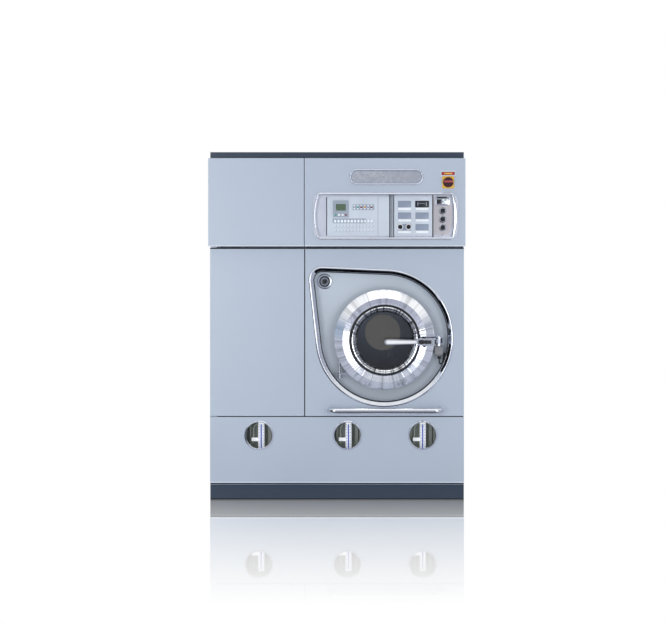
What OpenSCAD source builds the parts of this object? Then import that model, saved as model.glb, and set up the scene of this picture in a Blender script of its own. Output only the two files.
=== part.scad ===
// Dry cleaning machine: front-loading perforated cage in a sheet-metal cabinet.
// Millimetres. X runs right, Y runs from the front to the back, Z runs up.
// The origin is on the floor, under the middle of the cabinet.

/* [Cabinet] */
// Width of the cabinet body
body_w = 1460; // [1440:10:1600]
// Depth of the cabinet body, from the front panels to the rear panel
body_d = 1200; // [1190:10:1400]
// Height of the front panel and the service door
mid_h = 969; // [930:1:1100]
// Height of the roof cap
roof_h = 40; // [20:1:80]
// Height of the plinth frame
plinth_h = 96; // [70:1:110]
// How far the plinth stands back behind the front panels
plinth_back = 8; // [2:1:40]
// Thickness of the sheet metal
sheet = 2; // [1.5:0.5:3]
// Depth of the folded edges of the outer panels
fold = 25; // [22:1:30]
// Gap between neighbouring front panels
seam = 6; // [5:0.5:8]
// Height of the lower front panel
lower_h = 378; // [360:1:386]

/* [Frame] */
// Side of the square corner posts
post = 50; // [40:1:52]
// Side of the square rails
rail = 40; // [30:1:42]
// Gap between the drum shell and the middle rails under it
rail_gap = 1; // [0.5:0.5:4]
// Gap between the drum shell and the top of the upper rails
deck_gap = 67; // [60:1:90]
// Thickness of the deck plates
deck_t = 4; // [3:0.5:6]
// Height of the spill tray's walls
tray_h = 35; // [20:1:60]

/* [Recess] */
// Depth of the recess behind the front panel
recess_d = 50; // [48:1:54]
// Outer radius of the trim round the large end of the teardrop
big_r = 397; // [392:1:402]
// Outer radius of the trim round the small end of the teardrop
small_r = 78; // [72:1:82]
// Height of the large circle's centre above the door's centre
big_rise = 7; // [0:1:12]
// Width of the front panel to the right of the recess
recess_right = 60; // [50:1:80]
// Width of the front panel to the left of the large end
recess_left = 59; // [50:1:80]
// Width of the front panel to the left of the small end
small_left = 19; // [14:1:40]
// Height of the small circle's centre above the large one's
small_dz = 335; // [325:1:340]
// Width of the trim
trim_w = 29; // [26:1:32]
// How far the trim stands out in front of the panel
trim_proud = 6; // [4:0.5:9]

/* [Loading door] */
// Height of the door's centre
door_z = 923; // [919:1:930]
// Outer radius of the door ring
ring_r = 288; // [284:1:290]
// Radius where the polished cone of the ring meets its satin face
cone_r = 240; // [236:1:244]
// Inner radius of the door ring
ring_in_r = 201; // [200:0.5:203]
// How far the door's back plate stands in front of the recess pan
door_back = 48.3; // [48.1:0.1:48.6]
// Thickness of the door's back plate
door_plate_t = 4; // [3:0.5:5]
// Height of the polished cone from the lip to the satin face
cone_rise = 44; // [40:1:46]
// Height of the satin face from the cone to the inner edge
satin_rise = 7; // [4:0.5:9]
// Outer radius of the glass clamp ring
clamp_r = 190; // [189.5:0.5:192]
// Radius of the glass that shows inside the clamp ring
glass_r = 163; // [158:1:166]
// Thickness of the door glass
glass_t = 10; // [8:0.5:12]

/* [Door hinge and latch] */
// Distance of the hinge rod from the door's centre
hinge_reach = 259; // [257:1:260]
// Diameter of the hinge rod
hinge_rod_d = 14; // [12:0.5:15]
// How far the hinge rod stands in front of the recess pan
hinge_out = 38; // [37.5:0.5:39]
// Depth of the lower hinge arm below the door's centre
arm_low = 197; // [190:1:205]
// Height of the upper hinge arm above the door's centre
arm_top = 66; // [64:1:68]
// Distance of the lever's pivot from the door's centre
pivot_reach = 222; // [220:1:224]
// How far the lever's pivot stands in front of the recess pan
pivot_out = 150; // [149:1:152]
// Distance of the catch pin from the door's centre
catch_reach = 307; // [306:1:308]
// How far the catch pin stands in front of the recess pan
catch_out = 118; // [117:1:119]
// Diameter of the catch pin
catch_pin_d = 12; // [10:0.5:13]
// Diameter of the lever's pivot pin
lever_pin_d = 12; // [10:0.5:14]
// Height of the lever's body
lever_h = 41; // [38:1:44]
// Height of the grip at its free end
grip_h = 31; // [26:1:34]
// Radial clearance of the running pins and shafts
run_clear = 0.05; // [0.02:0.01:0.09]
// Clearance between the door and its seal, and between lever and catch
seat_clear = 0.3; // [0.25:0.05:0.5]

/* [Cage and drive] */
// Gap between the cage and the drum shell round it
shell_gap = 30; // [22:1:40]
// Depth of the cage
cage_d = 400; // [380:5:410]
// Thickness of the cage's sheet
cage_t = 3; // [2:0.5:4]
// Holes round the cage in each row
holes_round = 36; // [24:3:42]
// Rows of holes along the cage
holes_rows = 7; // [4:1:8]
// Diameter of the cage's holes
hole_d = 16; // [8:1:22]
// Height of the lifters above the cage's wall
lifter_h = 75; // [50:5:90]
// Inner radius of the cage's mouth
mouth_r = 205; // [203:1:207]
// Outer radius of the drum shell
shell_r = 430; // [428:1:431]
// Diameter of the drum shaft
shaft_d = 60; // [50:1:64]
// Pitch radius of the drum pulley
drum_pulley_r = 230; // [220:1:235]
// Pitch radius of the motor pulley
motor_pulley_r = 60; // [50:1:62]
// Height of the motor's axis above the middle rails
motor_rise = 108; // [106:1:112]

/* [Portholes and bar] */
// Radius of the clear hole of a porthole
port_r = 76; // [70:1:78]
// Height of the portholes above the floor
port_z = 371; // [365:1:375]
// Length of the horizontal bar, end to end
bar_l = 670; // [620:5:680]
// Diameter of the horizontal bar
bar_d = 31; // [26:1:33]
// Height of the bar's axis above the floor
bar_z = 523; // [520:1:524]
// How far the bar's axis stands in front of the panel
bar_out = 60; // [50:1:70]

/* [Fascia and controls] */
// Height of the fascia
fascia_h = 503; // [495:1:510]
// How far the fascia stands in front of the front panels
fascia_out = 40; // [36:1:50]
// How far the fascia stands out beside the body
fascia_side = 4; // [2:1:14]
// Width of the control opening at its middle
panel_w = 808; // [806:1:812]
// Height of the control opening
panel_h = 253; // [250:1:258]
// How far the ends of the control opening bulge
panel_bulge = 22; // [18:1:26]
// Radius of the control opening's corners
panel_corner = 18; // [14:1:24]
// Depth of the control plate behind the fascia's face
panel_depth = 14; // [12:1:16]
// Radius of a push button
button_r = 13; // [10:0.5:14]
// Travel of a push button
button_travel = 4; // [2:0.5:5]
// Radius of the main switch knob
switch_r = 29; // [24:1:31]

/* [Hidden] */
$fn = 64;

// Planes of the cabinet
x1 = body_w / 2;
x0 = -x1;
front_y = -body_d / 2;
rear_y = body_d / 2;
carcass_y = front_y + fold;
back_y = rear_y - fold;
lower_z0 = plinth_h + seam / 2;
lower_z1 = lower_z0 + lower_h;
mid_z0 = lower_z1 + seam;
mid_z1 = mid_z0 + mid_h;
fascia_z0 = mid_z1 + seam;
body_h = fascia_z0 + fascia_h;
door_x = x1 - recess_right - big_r;
split_x1 = door_x - big_r - recess_left;
split_x0 = split_x1 - seam;
split_x = (split_x0 + split_x1) / 2;
fascia_y = front_y - fascia_out;

// Frame
post_x = x1 - sheet - seam / 2;
side_y = carcass_y + post;
centre_post_w = 36;
centre_post_x0 = split_x - 20;
beam_x = [centre_post_x0 + centre_post_w / 2, door_x - 220, door_x + 220];
mid_rail_top = door_z - shell_r - rail_gap;
upper_rail_top = door_z + shell_r + deck_gap;
mid_rail_z = mid_rail_top - rail;
upper_rail_z = upper_rail_top - rail;
upper_deck_z = upper_rail_top + deck_t;
shelf_z = mid_rail_top + deck_t;
tray_t = 3;

// Recess
pan_y = front_y + recess_d;
pan_t = 2;
big_x = door_x;
big_z = door_z + big_rise;
small_x = split_x1 + small_left + small_r;
small_dx = small_x - big_x;
small_z = big_z + small_dz;
tear_l = norm([small_dx, small_dz]);
tear_a = atan2(small_dz, small_dx);
tear_open = acos((big_r - small_r) / tear_l);
lip_t = 4;

// Door: planes measured towards the front, as positive heights above y = 0
door_back_h = -pan_y + door_back;
ring_back_h = door_back_h + door_plate_t;
lip_h = ring_back_h + lip_t;
cone_h = lip_h + cone_rise;
nose_h = cone_h + satin_rise;
ring_t = 5;
glass_seat_h = nose_h - 27;
hinge_x = door_x - hinge_reach;
hinge_y = pan_y - hinge_out;
arm_h = 14;
pivot_x = door_x + pivot_reach;
pivot_y = pan_y - pivot_out;
latch_z = door_z - 4;
catch_x = door_x + catch_reach;
catch_y = pan_y - catch_out;
claw_h = 22;
claw_t = 10;

// Drum
seal_t = 8;
mouth_front_h = door_back_h - seat_clear - seal_t;
shell_front_y = side_y + 1;
cage_r = shell_r - shell_gap;
cage_y0 = shell_front_y + 30;
cage_y1 = cage_y0 + cage_d;
shell_t = 6;
shell_back_y = cage_y1 + 24;
shell_end_y = shell_back_y + shell_t;
housing_l = 176;
housing_end_y = shell_end_y + 14 + housing_l;
pulley_y = housing_end_y + 40;
pulley_w = 68;
groove_w = 13;
groove_d = 12;
groove_pitch = 19;
belt_clear = 0.4;
motor_z = mid_rail_top + motor_rise;
motor_r = 95;
motor_shaft_d = 28;

// Portholes
port_x = [x0 + 281, x1 - 670, x1 - 237];
rim_t = 8;
bar_x = x1 - 452;

// Control panel, all on the right fascia
panel_x = x1 - 452;
panel_foot = 45.5;
panel_z = fascia_z0 + panel_foot + panel_h / 2;
panel_top = panel_z + panel_h / 2;
badge_z = (panel_top + body_h) / 2 - 5.75;
plate_y = fascia_y + panel_depth;
plate_t = 2;
module_t = 6;
module_h = panel_h - 28;
button_x = x1 - 125;
button_z = [panel_z + 31, panel_z - 17, panel_z - 65];
knob_x = [x1 - 368, x1 - 320];
knob_z = panel_z - 61;
switch_x = x1 - 95;
switch_z = panel_top + 66.5;

// Service door pivots
service_t = 20;
service_in = 9;
service_pin_d = 8;
hinge_leaf_t = 4;

// Fan and recovery
fan_x = x1 - 380;
fan_z = upper_deck_z + 176;
fan_y0 = rear_y - 370;
fan_w = 130;

// ---------- shared shapes ----------

// A box between two corners
module span(x, y, z) {
    translate([x[0], y[0], z[0]]) cube([x[1] - x[0], y[1] - y[0], z[1] - z[0]]);
}

// A flat shape drawn in X and Z, carried from one Y plane to another
module plate_y(y0, y1) {
    translate([0, y1, 0]) rotate([90, 0, 0]) linear_extrude(y1 - y0) children();
}

// A profile of [radius, height towards the front], spun about a line along Y
module spun(cx, cz) {
    translate([cx, 0, cz]) rotate([90, 0, 0]) rotate_extrude($fn = 96) children();
}

// A round bar along Y
module rod_y(cx, cz, r, y0, y1) {
    translate([cx, y1, cz]) rotate([90, 0, 0]) cylinder(r = r, h = y1 - y0);
}

// A round bar along X
module rod_x(cy, cz, r, xa, xb) {
    translate([xa, cy, cz]) rotate([0, 90, 0]) cylinder(r = r, h = xb - xa);
}

// A round bar along Z
module rod_z(cx, cy, r, za, zb) {
    translate([cx, cy, za]) cylinder(r = r, h = zb - za);
}

// A tray of folded sheet that opens towards the back
module tray_back(x, y, z) {
    difference() {
        span(x, y, z);
        span([x[0] + sheet, x[1] - sheet], [y[0] + sheet, y[1] + 1], [z[0] + sheet, z[1] - sheet]);
    }
}

// The teardrop of the recess, grown or shrunk all round
module teardrop(grow) {
    up = tear_a + tear_open;
    dn = tear_a - tear_open;
    translate([big_x, big_z]) circle(r = big_r + grow, $fn = 128);
    translate([small_x, small_z]) circle(r = small_r + grow);
    polygon([
        [big_x + (big_r + grow) * cos(up), big_z + (big_r + grow) * sin(up)],
        [small_x + (small_r + grow) * cos(up), small_z + (small_r + grow) * sin(up)],
        [small_x + (small_r + grow) * cos(dn), small_z + (small_r + grow) * sin(dn)],
        [big_x + (big_r + grow) * cos(dn), big_z + (big_r + grow) * sin(dn)]]);
}

// A profile of [outwards, towards the front] carried round a loop over two circles in X and Z:
// the first at the origin, the second at distance l and angle a. The belt-like straights
// between the circles are the long faces between the two arcs.
function loop_stations(r1, r2, l, a) =
    let (open = acos((r1 - r2) / l), n1 = ceil((360 - 2 * open) / 4), n2 = ceil(open / 3))
    concat([for (i = [0:n1]) [0, 0, r1, a + open + (360 - 2 * open) * i / n1]],
        [for (i = [0:n2]) [l * cos(a), l * sin(a), r2, a - open + 2 * open * i / n2]]);
module loop(profile, r1, r2, l, a) {
    s = loop_stations(r1, r2, l, a);
    n = len(s);
    m = len(profile);
    polyhedron([for (q = s, g = profile)
            [q[0] + (q[2] + g[0]) * cos(q[3]), -g[1], q[1] + (q[2] + g[0]) * sin(q[3])]],
        [for (i = [0:n - 1], j = [0:m - 1]) let (i2 = (i + 1) % n, j2 = (j + 1) % m)
            each [[i * m + j, i2 * m + j2, i2 * m + j], [i * m + j, i * m + j2, i2 * m + j2]]]);
}

// A bar with both ends rounded, in X and Z
module stadium(w, h) {
    square([w - h, h], center = true);
    for (s = [-1, 1]) translate([s * (w - h) / 2, 0]) circle(d = h);
}

// The barrel-shaped outline of the control opening, grown or shrunk all round
module barrel(grow) {
    w = panel_w + 2 * grow;
    h = panel_h + 2 * grow;
    chord = h / 2;
    arc_r = (chord * chord + panel_bulge * panel_bulge) / (2 * panel_bulge);
    corner_r = panel_corner + grow;
    // Each corner circle touches the straight edge and the end's arc from inside
    cz = chord - corner_r;
    cx = w / 2 - arc_r + sqrt(pow(arc_r - corner_r, 2) - cz * cz);
    touch_z = cz * arc_r / (arc_r - corner_r);
    translate([panel_x, panel_z]) {
        square([2 * cx, h], center = true);
        for (sx = [-1, 1]) {
            for (sz = [-1, 1]) translate([sx * cx, sz * cz]) circle(r = corner_r);
            intersection() {
                translate([sx * (w / 2 - arc_r), 0]) circle(r = arc_r, $fn = 128);
                square([w + 2, 2 * touch_z], center = true);
            }
        }
    }
}

// A tapered outline between two circles on one line along X
module taper(xa, ra, xb, rb) {
    lean = asin((ra - rb) / (xb - xa));
    translate([xa, 0]) circle(r = ra);
    translate([xb, 0]) circle(r = rb);
    polygon([for (s = [-1, 1]) [xa + ra * sin(lean), s * ra * cos(lean)],
        for (s = [1, -1]) [xb + rb * sin(lean), s * rb * cos(lean)]]);
}

// ---------- plinth and frame ----------

module base_frame() {
    wall = 40;
    y = [front_y + plinth_back, rear_y - plinth_back];
    tray_x = post_x;
    tray_y = side_y + seam / 2;
    color("#31404f") {
        difference() {
            span([x0, x1], y, [0, plinth_h]);
            for (side = [0, 1]) mirror([side, 0, 0])
                span([wall / 2, x1 - wall], [y[0] + wall, y[1] - wall], [-1, plinth_h + 1]);
        }
    }
    color("#8a9099") difference() {
        span([-tray_x, tray_x], [tray_y, -tray_y], [plinth_h, plinth_h + tray_h]);
        span([-tray_x + tray_t, tray_x - tray_t], [tray_y + tray_t, -tray_y - tray_t],
            [plinth_h + tray_t, plinth_h + tray_h + 1]);
    }
}

// One ring of rails between the corner posts, with its top at a given height
module rail_ring(top) {
    z = [top - rail, top];
    inner = post_x - post;
    span([-inner, inner], [carcass_y, carcass_y + rail], z);
    span([-inner, inner], [back_y - rail, back_y], z);
    for (s = [-1, 1]) scale([s, 1, 1]) span([post_x - rail, post_x], [side_y, -side_y], z);
}

module frame() {
    color("#6d747d") {
        for (sx = [-1, 1]) for (y = [carcass_y, back_y - post])
            translate([sx * (post_x - post / 2) - post / 2, y, plinth_h])
                cube([post, post, body_h - plinth_h]);
        for (top = [mid_rail_top, upper_rail_top, body_h]) rail_ring(top);
        for (x = beam_x)
            span([x - rail / 2 + 2, x + rail / 2 - 2], [carcass_y + rail, back_y - rail],
                [mid_rail_z, mid_rail_top]);
        span([centre_post_x0, centre_post_x0 + centre_post_w], [carcass_y, carcass_y + rail],
            [mid_rail_top, upper_rail_z]);
        span([centre_post_x0, centre_post_x0 + centre_post_w], [carcass_y, carcass_y + rail],
            [upper_rail_top, body_h - rail]);
    }
    // The shelf behind the service door, with holes for the pipes that pass it
    color("#9aa2aa") difference() {
        span([-post_x + 2, centre_post_x0 + centre_post_w - 2], [side_y + 4, -side_y - 4],
            [mid_rail_top, shelf_z]);
        rod_z(trap_x, trap_y, pipe_r + 3, mid_rail_z, shelf_z + 1);
        rod_z(still_x, still_y, vapour_r + 3, mid_rail_z, shelf_z + 1);
        rod_z(pump_x, pump_y, pipe_r + 3, mid_rail_z, shelf_z + 1);
    }
    // The upper deck, open for the two air ducts
    color("#9aa2aa") difference() {
        span([-post_x + 2, post_x - 2], [side_y + 4, -side_y - 4], [upper_rail_top, upper_deck_z]);
        span([rise_x[0] - 2, rise_x[1] + 2], [rise_y[0] - 2, rise_y[1] + 2],
            [upper_rail_z, upper_deck_z + 1]);
        span([fall_x[0] - 2, fall_x[1] + 2], [fall_y[0] - 2, fall_y[1] + 2],
            [upper_rail_z, upper_deck_z + 1]);
    }
}

// ---------- outer panels ----------

module side_panels() {
    color("#b4bfcc") for (side = [0, 1]) mirror([side, 0, 0]) {
        span([x0, x0 + sheet], [carcass_y, back_y], [plinth_h, body_h]);
        for (z = [mid_rail_z + rail / 2, upper_rail_top - rail / 2])
            span([x0 + sheet, -post_x], [side_y, -side_y], [z - 8, z + 8]);
    }
}

module rear_panel() {
    slot_l = 220;
    slot_h = 9;
    slot_pitch = 32;
    slots = 9;
    color("#b4bfcc") difference() {
        mirror([0, 1, 0]) tray_back([x0, x1], [-rear_y, -back_y], [plinth_h, body_h]);
        for (cx = louvre_x, z = louvre_z, i = [0:slots - 1])
            span([cx - slot_l / 2, cx + slot_l / 2], [rear_y - fold, rear_y + 1],
                [z + i * slot_pitch, z + i * slot_pitch + slot_h]);
        rod_y(vent_x, vent_z, vent_r - 3, rear_y - fold, rear_y + 1);
    }
    // Pressed hoods over the slots
    color("#b4bfcc") for (cx = louvre_x, z = louvre_z, i = [0:slots - 1])
        translate([cx - slot_l / 2, rear_y, z + i * slot_pitch + slot_h])
            rotate([90, 0, 90]) linear_extrude(slot_l) polygon([[0, 0], [0, 6], [10, -slot_h + 2],
                [10, -slot_h], [8, -slot_h]]);
    // Exhaust spigot, cooling water stubs and cable gland
    color("#c9ced4") {
        difference() {
            rod_y(vent_x, vent_z, vent_r, rear_y, rear_y + vent_l);
            rod_y(vent_x, vent_z, vent_r - 3, rear_y - 1, rear_y + vent_l + 1);
        }
        for (z = water_z) difference() {
            rod_y(water_x, z, water_r, rear_y, rear_y + water_l);
            rod_y(water_x, z, water_r - 4, rear_y + 2, rear_y + water_l + 1);
        }
    }
    color("#2a2d31") rod_y(x0 + 130, body_h - 311, 17, rear_y, rear_y + 26);
}
louvre_x = [x0 / 2 + 5, x1 / 2 - 5];
louvre_z = [lower_z0 + 161, body_h - 461];
vent_x = 0;
vent_z = body_h - 161;
vent_r = 50;
vent_l = 60;
water_x = x1 - 130;
water_z = [lower_z0 + 201, lower_z0 + 281];
water_r = 13.2;
water_l = 40;

module roof_cap() {
    color("#47586b") difference() {
        span([x0, x1], [front_y + 8, rear_y], [body_h, body_h + roof_h]);
        span([x0 + sheet, x1 - sheet], [front_y + 8 + sheet, rear_y - sheet],
            [body_h - 1, body_h + roof_h - sheet]);
    }
}

module lower_panel() {
    color("#aebaca") difference() {
        tray_back([x0, x1], [front_y, carcass_y], [lower_z0, lower_z1]);
        for (x = port_x) rod_y(x, port_z, port_r + 3, front_y - 1, front_y + fold - 3);
    }
}

module porthole_rims() {
    h = -front_y;
    color("#dfe4ea") for (x = port_x) spun(x, port_z)
        polygon([[port_r, h - 6], [port_r, h + 3], [port_r + 1, h + 4], [port_r + rim_t - 2, h + 4],
            [port_r + rim_t, h + 2], [port_r + rim_t, h], [port_r + 2.7, h], [port_r + 2.7, h - 6]]);
}

module front_panel() {
    color("#b3becd") difference() {
        tray_back([split_x1, x1], [front_y, carcass_y], [mid_z0, mid_z1]);
        plate_y(front_y - 1, carcass_y + 1) teardrop(-8);
    }
}

module recess_pan() {
    color("#96a3b5") difference() {
        plate_y(pan_y, pan_y + pan_t) teardrop(-20);
        rod_y(door_x, door_z, mouth_flange_r + 2, pan_y - 1, pan_y + pan_t + 1);
        rod_y(dosing_x, dosing_z, dosing_tube_r + 0.5, pan_y - 1, pan_y + pan_t + 1);
    }
}
mouth_flange_r = mouth_r + 25;
dosing_x = small_x + 13;
dosing_z = small_z - 10;
dosing_tube_r = 20;

module recess_trim() {
    depth = recess_d;
    color("#d9dde3") translate([big_x, front_y, big_z])
        loop([[0, 0], [0, trim_proud / 2], [-4, trim_proud], [-11, trim_proud - 1],
            [-18, -4], [-trim_w + 5, -20], [-trim_w, -depth], [-trim_w + 3.2, -depth],
            [-trim_w + 8, -21], [-15, -6], [-8.3, -1], [-8.3, 0]],
            big_r, small_r, tear_l, tear_a);
}

module front_bar() {
    r = bar_d / 2;
    bend = 40;
    y = front_y - bar_out;
    half = bar_l / 2 - r;
    foot_t = 4;
    color("#cfd3da") for (s = [-1, 1]) translate([bar_x, 0, bar_z]) scale([s, 1, 1]) {
        rod_x(y, 0, r, 0, half - bend);
        translate([half - bend, y + bend, 0]) rotate([0, 0, -90]) rotate_extrude(angle = 90)
            translate([bend, 0]) circle(r = r);
        rod_y(half, 0, r, y + bend, front_y - foot_t);
        rod_y(half, 0, r + 7, front_y - foot_t, front_y);
    }
}

module dosing_port() {
    h = -pan_y;
    color("#c4c9d1") spun(dosing_x, dosing_z)
        polygon([[15.5, h - 18], [15.5, h + 6], [18, h + 10], [23, h + 10], [25, h + 4], [40, h + 6],
            [44, h + 4], [45, h], [dosing_tube_r, h], [dosing_tube_r, h - 18]]);
    color("#1d2024") rod_y(dosing_x, dosing_z, 15.4, pan_y + 12, pan_y + 16);
}

// ---------- fascia and controls ----------

module fascia_left() {
    color("#b6bfcf")
        tray_back([x0 - fascia_side, split_x - 2], [fascia_y, carcass_y], [fascia_z0, body_h]);
}

module fascia_right() {
    color("#b6bfcf") difference() {
        tray_back([split_x + 2, x1 + fascia_side], [fascia_y, carcass_y], [fascia_z0, body_h]);
        plate_y(fascia_y - 1, fascia_y + sheet + 1) barrel(0);
        rod_y(switch_x, switch_z, 12, fascia_y - 1, fascia_y + sheet + 1);
    }
}

module control_plate() {
    color("#c2c7cf") difference() {
        union() {
            plate_y(plate_y, plate_y + plate_t) barrel(8);
            for (z = button_z) rod_y(button_x, z, button_r + 4, plate_y - 6, plate_y);
        }
        for (z = button_z)
            rod_y(button_x, z, button_r + seat_clear, plate_y - 7, plate_y + plate_t + 1);
        for (x = knob_x) rod_y(x, knob_z, 4, plate_y - 1, plate_y + plate_t + 1);
    }
    color("#d9dde3") {
        difference() {
            plate_y(fascia_y - 5, fascia_y - seat_clear) barrel(7);
            plate_y(fascia_y - 6, fascia_y) barrel(-5);
        }
        difference() {
            plate_y(fascia_y - seat_clear, plate_y) barrel(-seat_clear);
            plate_y(fascia_y - 1, plate_y + 1) barrel(-5);
        }
    }
    // Contact blocks behind the buttons
    color("#2a2d31") span([button_x - 20, button_x + 20],
        [plate_y + plate_t + button_travel + 1, plate_y + 30], [button_z[2] - 20, button_z[0] + 20]);
    color("#2a2d31") for (s = [-1, 1]) span([button_x + s * 22 - 2, button_x + s * 22 + 2],
        [plate_y + plate_t, plate_y + 30], [button_z[2] - 20, button_z[0] + 20]);
}

// Left and right ends of the two modules on the control plate
membrane_x = [x1 - 786, x1 - 429];
selector_x = [x1 - 403, x1 - 185];
window_x = [x1 - 381, x1 - 281];
window_w = 76;
window_h = 37;

module control_modules() {
    y = plate_y - module_t;
    z = [panel_z - module_h / 2, panel_z + module_h / 2];
    key_cols = 12;
    key_rows = 3;
    color("#d7dfe9") {
        span(membrane_x, [y, plate_y], z);
        for (i = [0:key_cols - 1], j = [0:key_rows - 1])
            translate([membrane_x[0] + 40 + i * 19, y - 0.8, panel_z - 88 + j * 26]) cube([13, 0.8, 16]);
        difference() {
            span(selector_x, [y, plate_y], z);
            for (x = window_x, j = [0:2]) translate([x, y - 1, panel_z - 81 + j * 66])
                cube([window_w, 3, window_h]);
            for (x = knob_x) rod_y(x, knob_z, 3 + run_clear, y - 1, plate_y + 1);
        }
        for (x = window_x, j = [0:2])
            translate([x + 6, y - 0.8, panel_z - 95 + j * 66]) cube([window_w - 12, 0.8, 9]);
    }
}

module display_units() {
    y = plate_y - module_t;
    x = membrane_x[0] + 35;
    meter_x = button_x - 38;
    color("#9ba6b0") difference() {
        span([x, x + 87], [y - 6, y], [panel_z - 6, panel_z + 89]);
        span([x + 15, x + 73], [y - 7, y - 4], [panel_z + 31, panel_z + 70]);
    }
    color("#5d7268") span([x + 16, x + 72], [y - 4, y - 3], [panel_z + 32, panel_z + 69]);
    color("#20242a") span([x + 112, x + 233], [y - 2, y], [panel_z + 36, panel_z + 67]);
    color("#20242a") difference() {
        span([meter_x, meter_x + 77], [plate_y - 8, plate_y], [panel_z + 65, panel_z + 116]);
        span([meter_x + 23, meter_x + 71], [plate_y - 9, plate_y - 6], [panel_z + 73, panel_z + 108]);
    }
}

module fascia_plates() {
    badge_x = panel_x + 5;
    badge_w = 420;
    badge_h = 90;
    rim = 8;
    // Bare oval badge with a raised rim
    color("#cfd3da") {
        plate_y(fascia_y - 3, fascia_y) translate([badge_x, badge_z]) stadium(badge_w, badge_h);
        difference() {
            plate_y(fascia_y - 5, fascia_y - 3) translate([badge_x, badge_z])
                stadium(badge_w, badge_h);
            plate_y(fascia_y - 6, fascia_y - 2) translate([badge_x, badge_z])
                stadium(badge_w - 2 * rim, badge_h - 2 * rim);
        }
    }
    // Main switch: face plate, body behind the fascia
    color("#c89b62") difference() {
        span([switch_x - 33, switch_x + 33], [fascia_y - 3, fascia_y], [switch_z - 34, switch_z + 34]);
        rod_y(switch_x, switch_z, 5 + run_clear, fascia_y - 4, fascia_y + 1);
    }
    color("#2a2d31") difference() {
        span([switch_x - 30, switch_x + 30], [fascia_y + sheet, fascia_y + 55],
            [switch_z - 30, switch_z + 30]);
        rod_y(switch_x, switch_z, 5 + run_clear, fascia_y, fascia_y + 31);
    }
}

// A rotary knob with a grip bar, in front of a given plane
module main_switch_knob() {
    y = fascia_y - 3 - seat_clear;
    color("#3a1c22") {
        rod_y(switch_x, switch_z, switch_r, y - 9, y);
        rod_y(switch_x, switch_z, switch_r - 5, y - 13, y - 9);
        intersection() {
            span([switch_x - switch_r, switch_x + switch_r], [y - 25, y - 13],
                [switch_z - 6, switch_z + 6]);
            rod_y(switch_x, switch_z, switch_r - 2, y - 25, y - 13);
        }
        rod_y(switch_x, switch_z, 5, y, fascia_y + 30);
    }
}

module push_button(z) {
    color("#17191c") {
        rod_y(button_x, z, button_r, plate_y - 12, plate_y - 1);
        rod_y(button_x, z, button_r - 2, plate_y - 13, plate_y - 12);
        rod_y(button_x, z, 5, plate_y - 1, plate_y + plate_t);
    }
}

module button_top() { push_button(button_z[0]); }
module button_middle() { push_button(button_z[1]); }
module button_bottom() { push_button(button_z[2]); }

module selector_knob(x) {
    y = plate_y - module_t + 2;
    color("#17191c") {
        rod_y(x, knob_z, 11, y - 14, y - seat_clear);
        rod_y(x, knob_z, 12.5, y - 4, y - seat_clear);
        span([x - 1.5, x + 1.5], [y - 16, y - 14], [knob_z - 1, knob_z + 10]);
        rod_y(x, knob_z, 3, y - seat_clear, plate_y + plate_t + 3);
    }
}

module selector_left() { selector_knob(knob_x[0]); }
module selector_right() { selector_knob(knob_x[1]); }

// ---------- recess fittings ----------

module hinge_brackets() {
    lug_h = 18;
    // Two lugs on the recess pan carry the door's rod. The upper one is slim and stands to the right,
    // because the edge of the ring swings past its left side
    color("#8d949d") for (lug = [[-1, arm_low, 11, -9], [1, arm_top, 9.8, -3]]) {
        z = door_z + lug[0] * (lug[1] + (arm_h + lug_h) / 2 + seat_clear);
        difference() {
            union() {
                span([hinge_x + lug[3], hinge_x + lug[3] + 18], [hinge_y, pan_y - 4],
                    [z - lug_h / 2, z + lug_h / 2]);
                rod_z(hinge_x, hinge_y, lug[2], z - lug_h / 2, z + lug_h / 2);
                span([hinge_x - 10, hinge_x + 22], [pan_y - 4, pan_y],
                    [z - lug_h / 2 - 6, z + lug_h / 2 + 6]);
            }
            rod_z(hinge_x, hinge_y, hinge_rod_d / 2 + run_clear, z - lug_h, z + lug_h);
        }
    }
    // Leaves with pivot pins for the service door, above and below it
    color("#8d949d") for (s = [-1, 1]) {
        edge = s < 0 ? mid_z0 : mid_z1;
        z = edge + s * (1 + hinge_leaf_t / 2);
        span([x0, x0 + 40], [front_y + 2, carcass_y], [z - hinge_leaf_t / 2, z + hinge_leaf_t / 2]);
        rod_z(service_px, service_py, service_pin_d / 2, min(z, z - s * 14), max(z, z - s * 14));
    }
    // Magnet catch on the centre post
    color("#2a2d31") span([centre_post_x0 - 8, centre_post_x0 + 14],
        [front_y + service_t + seat_clear, carcass_y], [door_z - 30, door_z + 30]);
}
service_px = x0 + service_in;
service_py = front_y + service_in;

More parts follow.
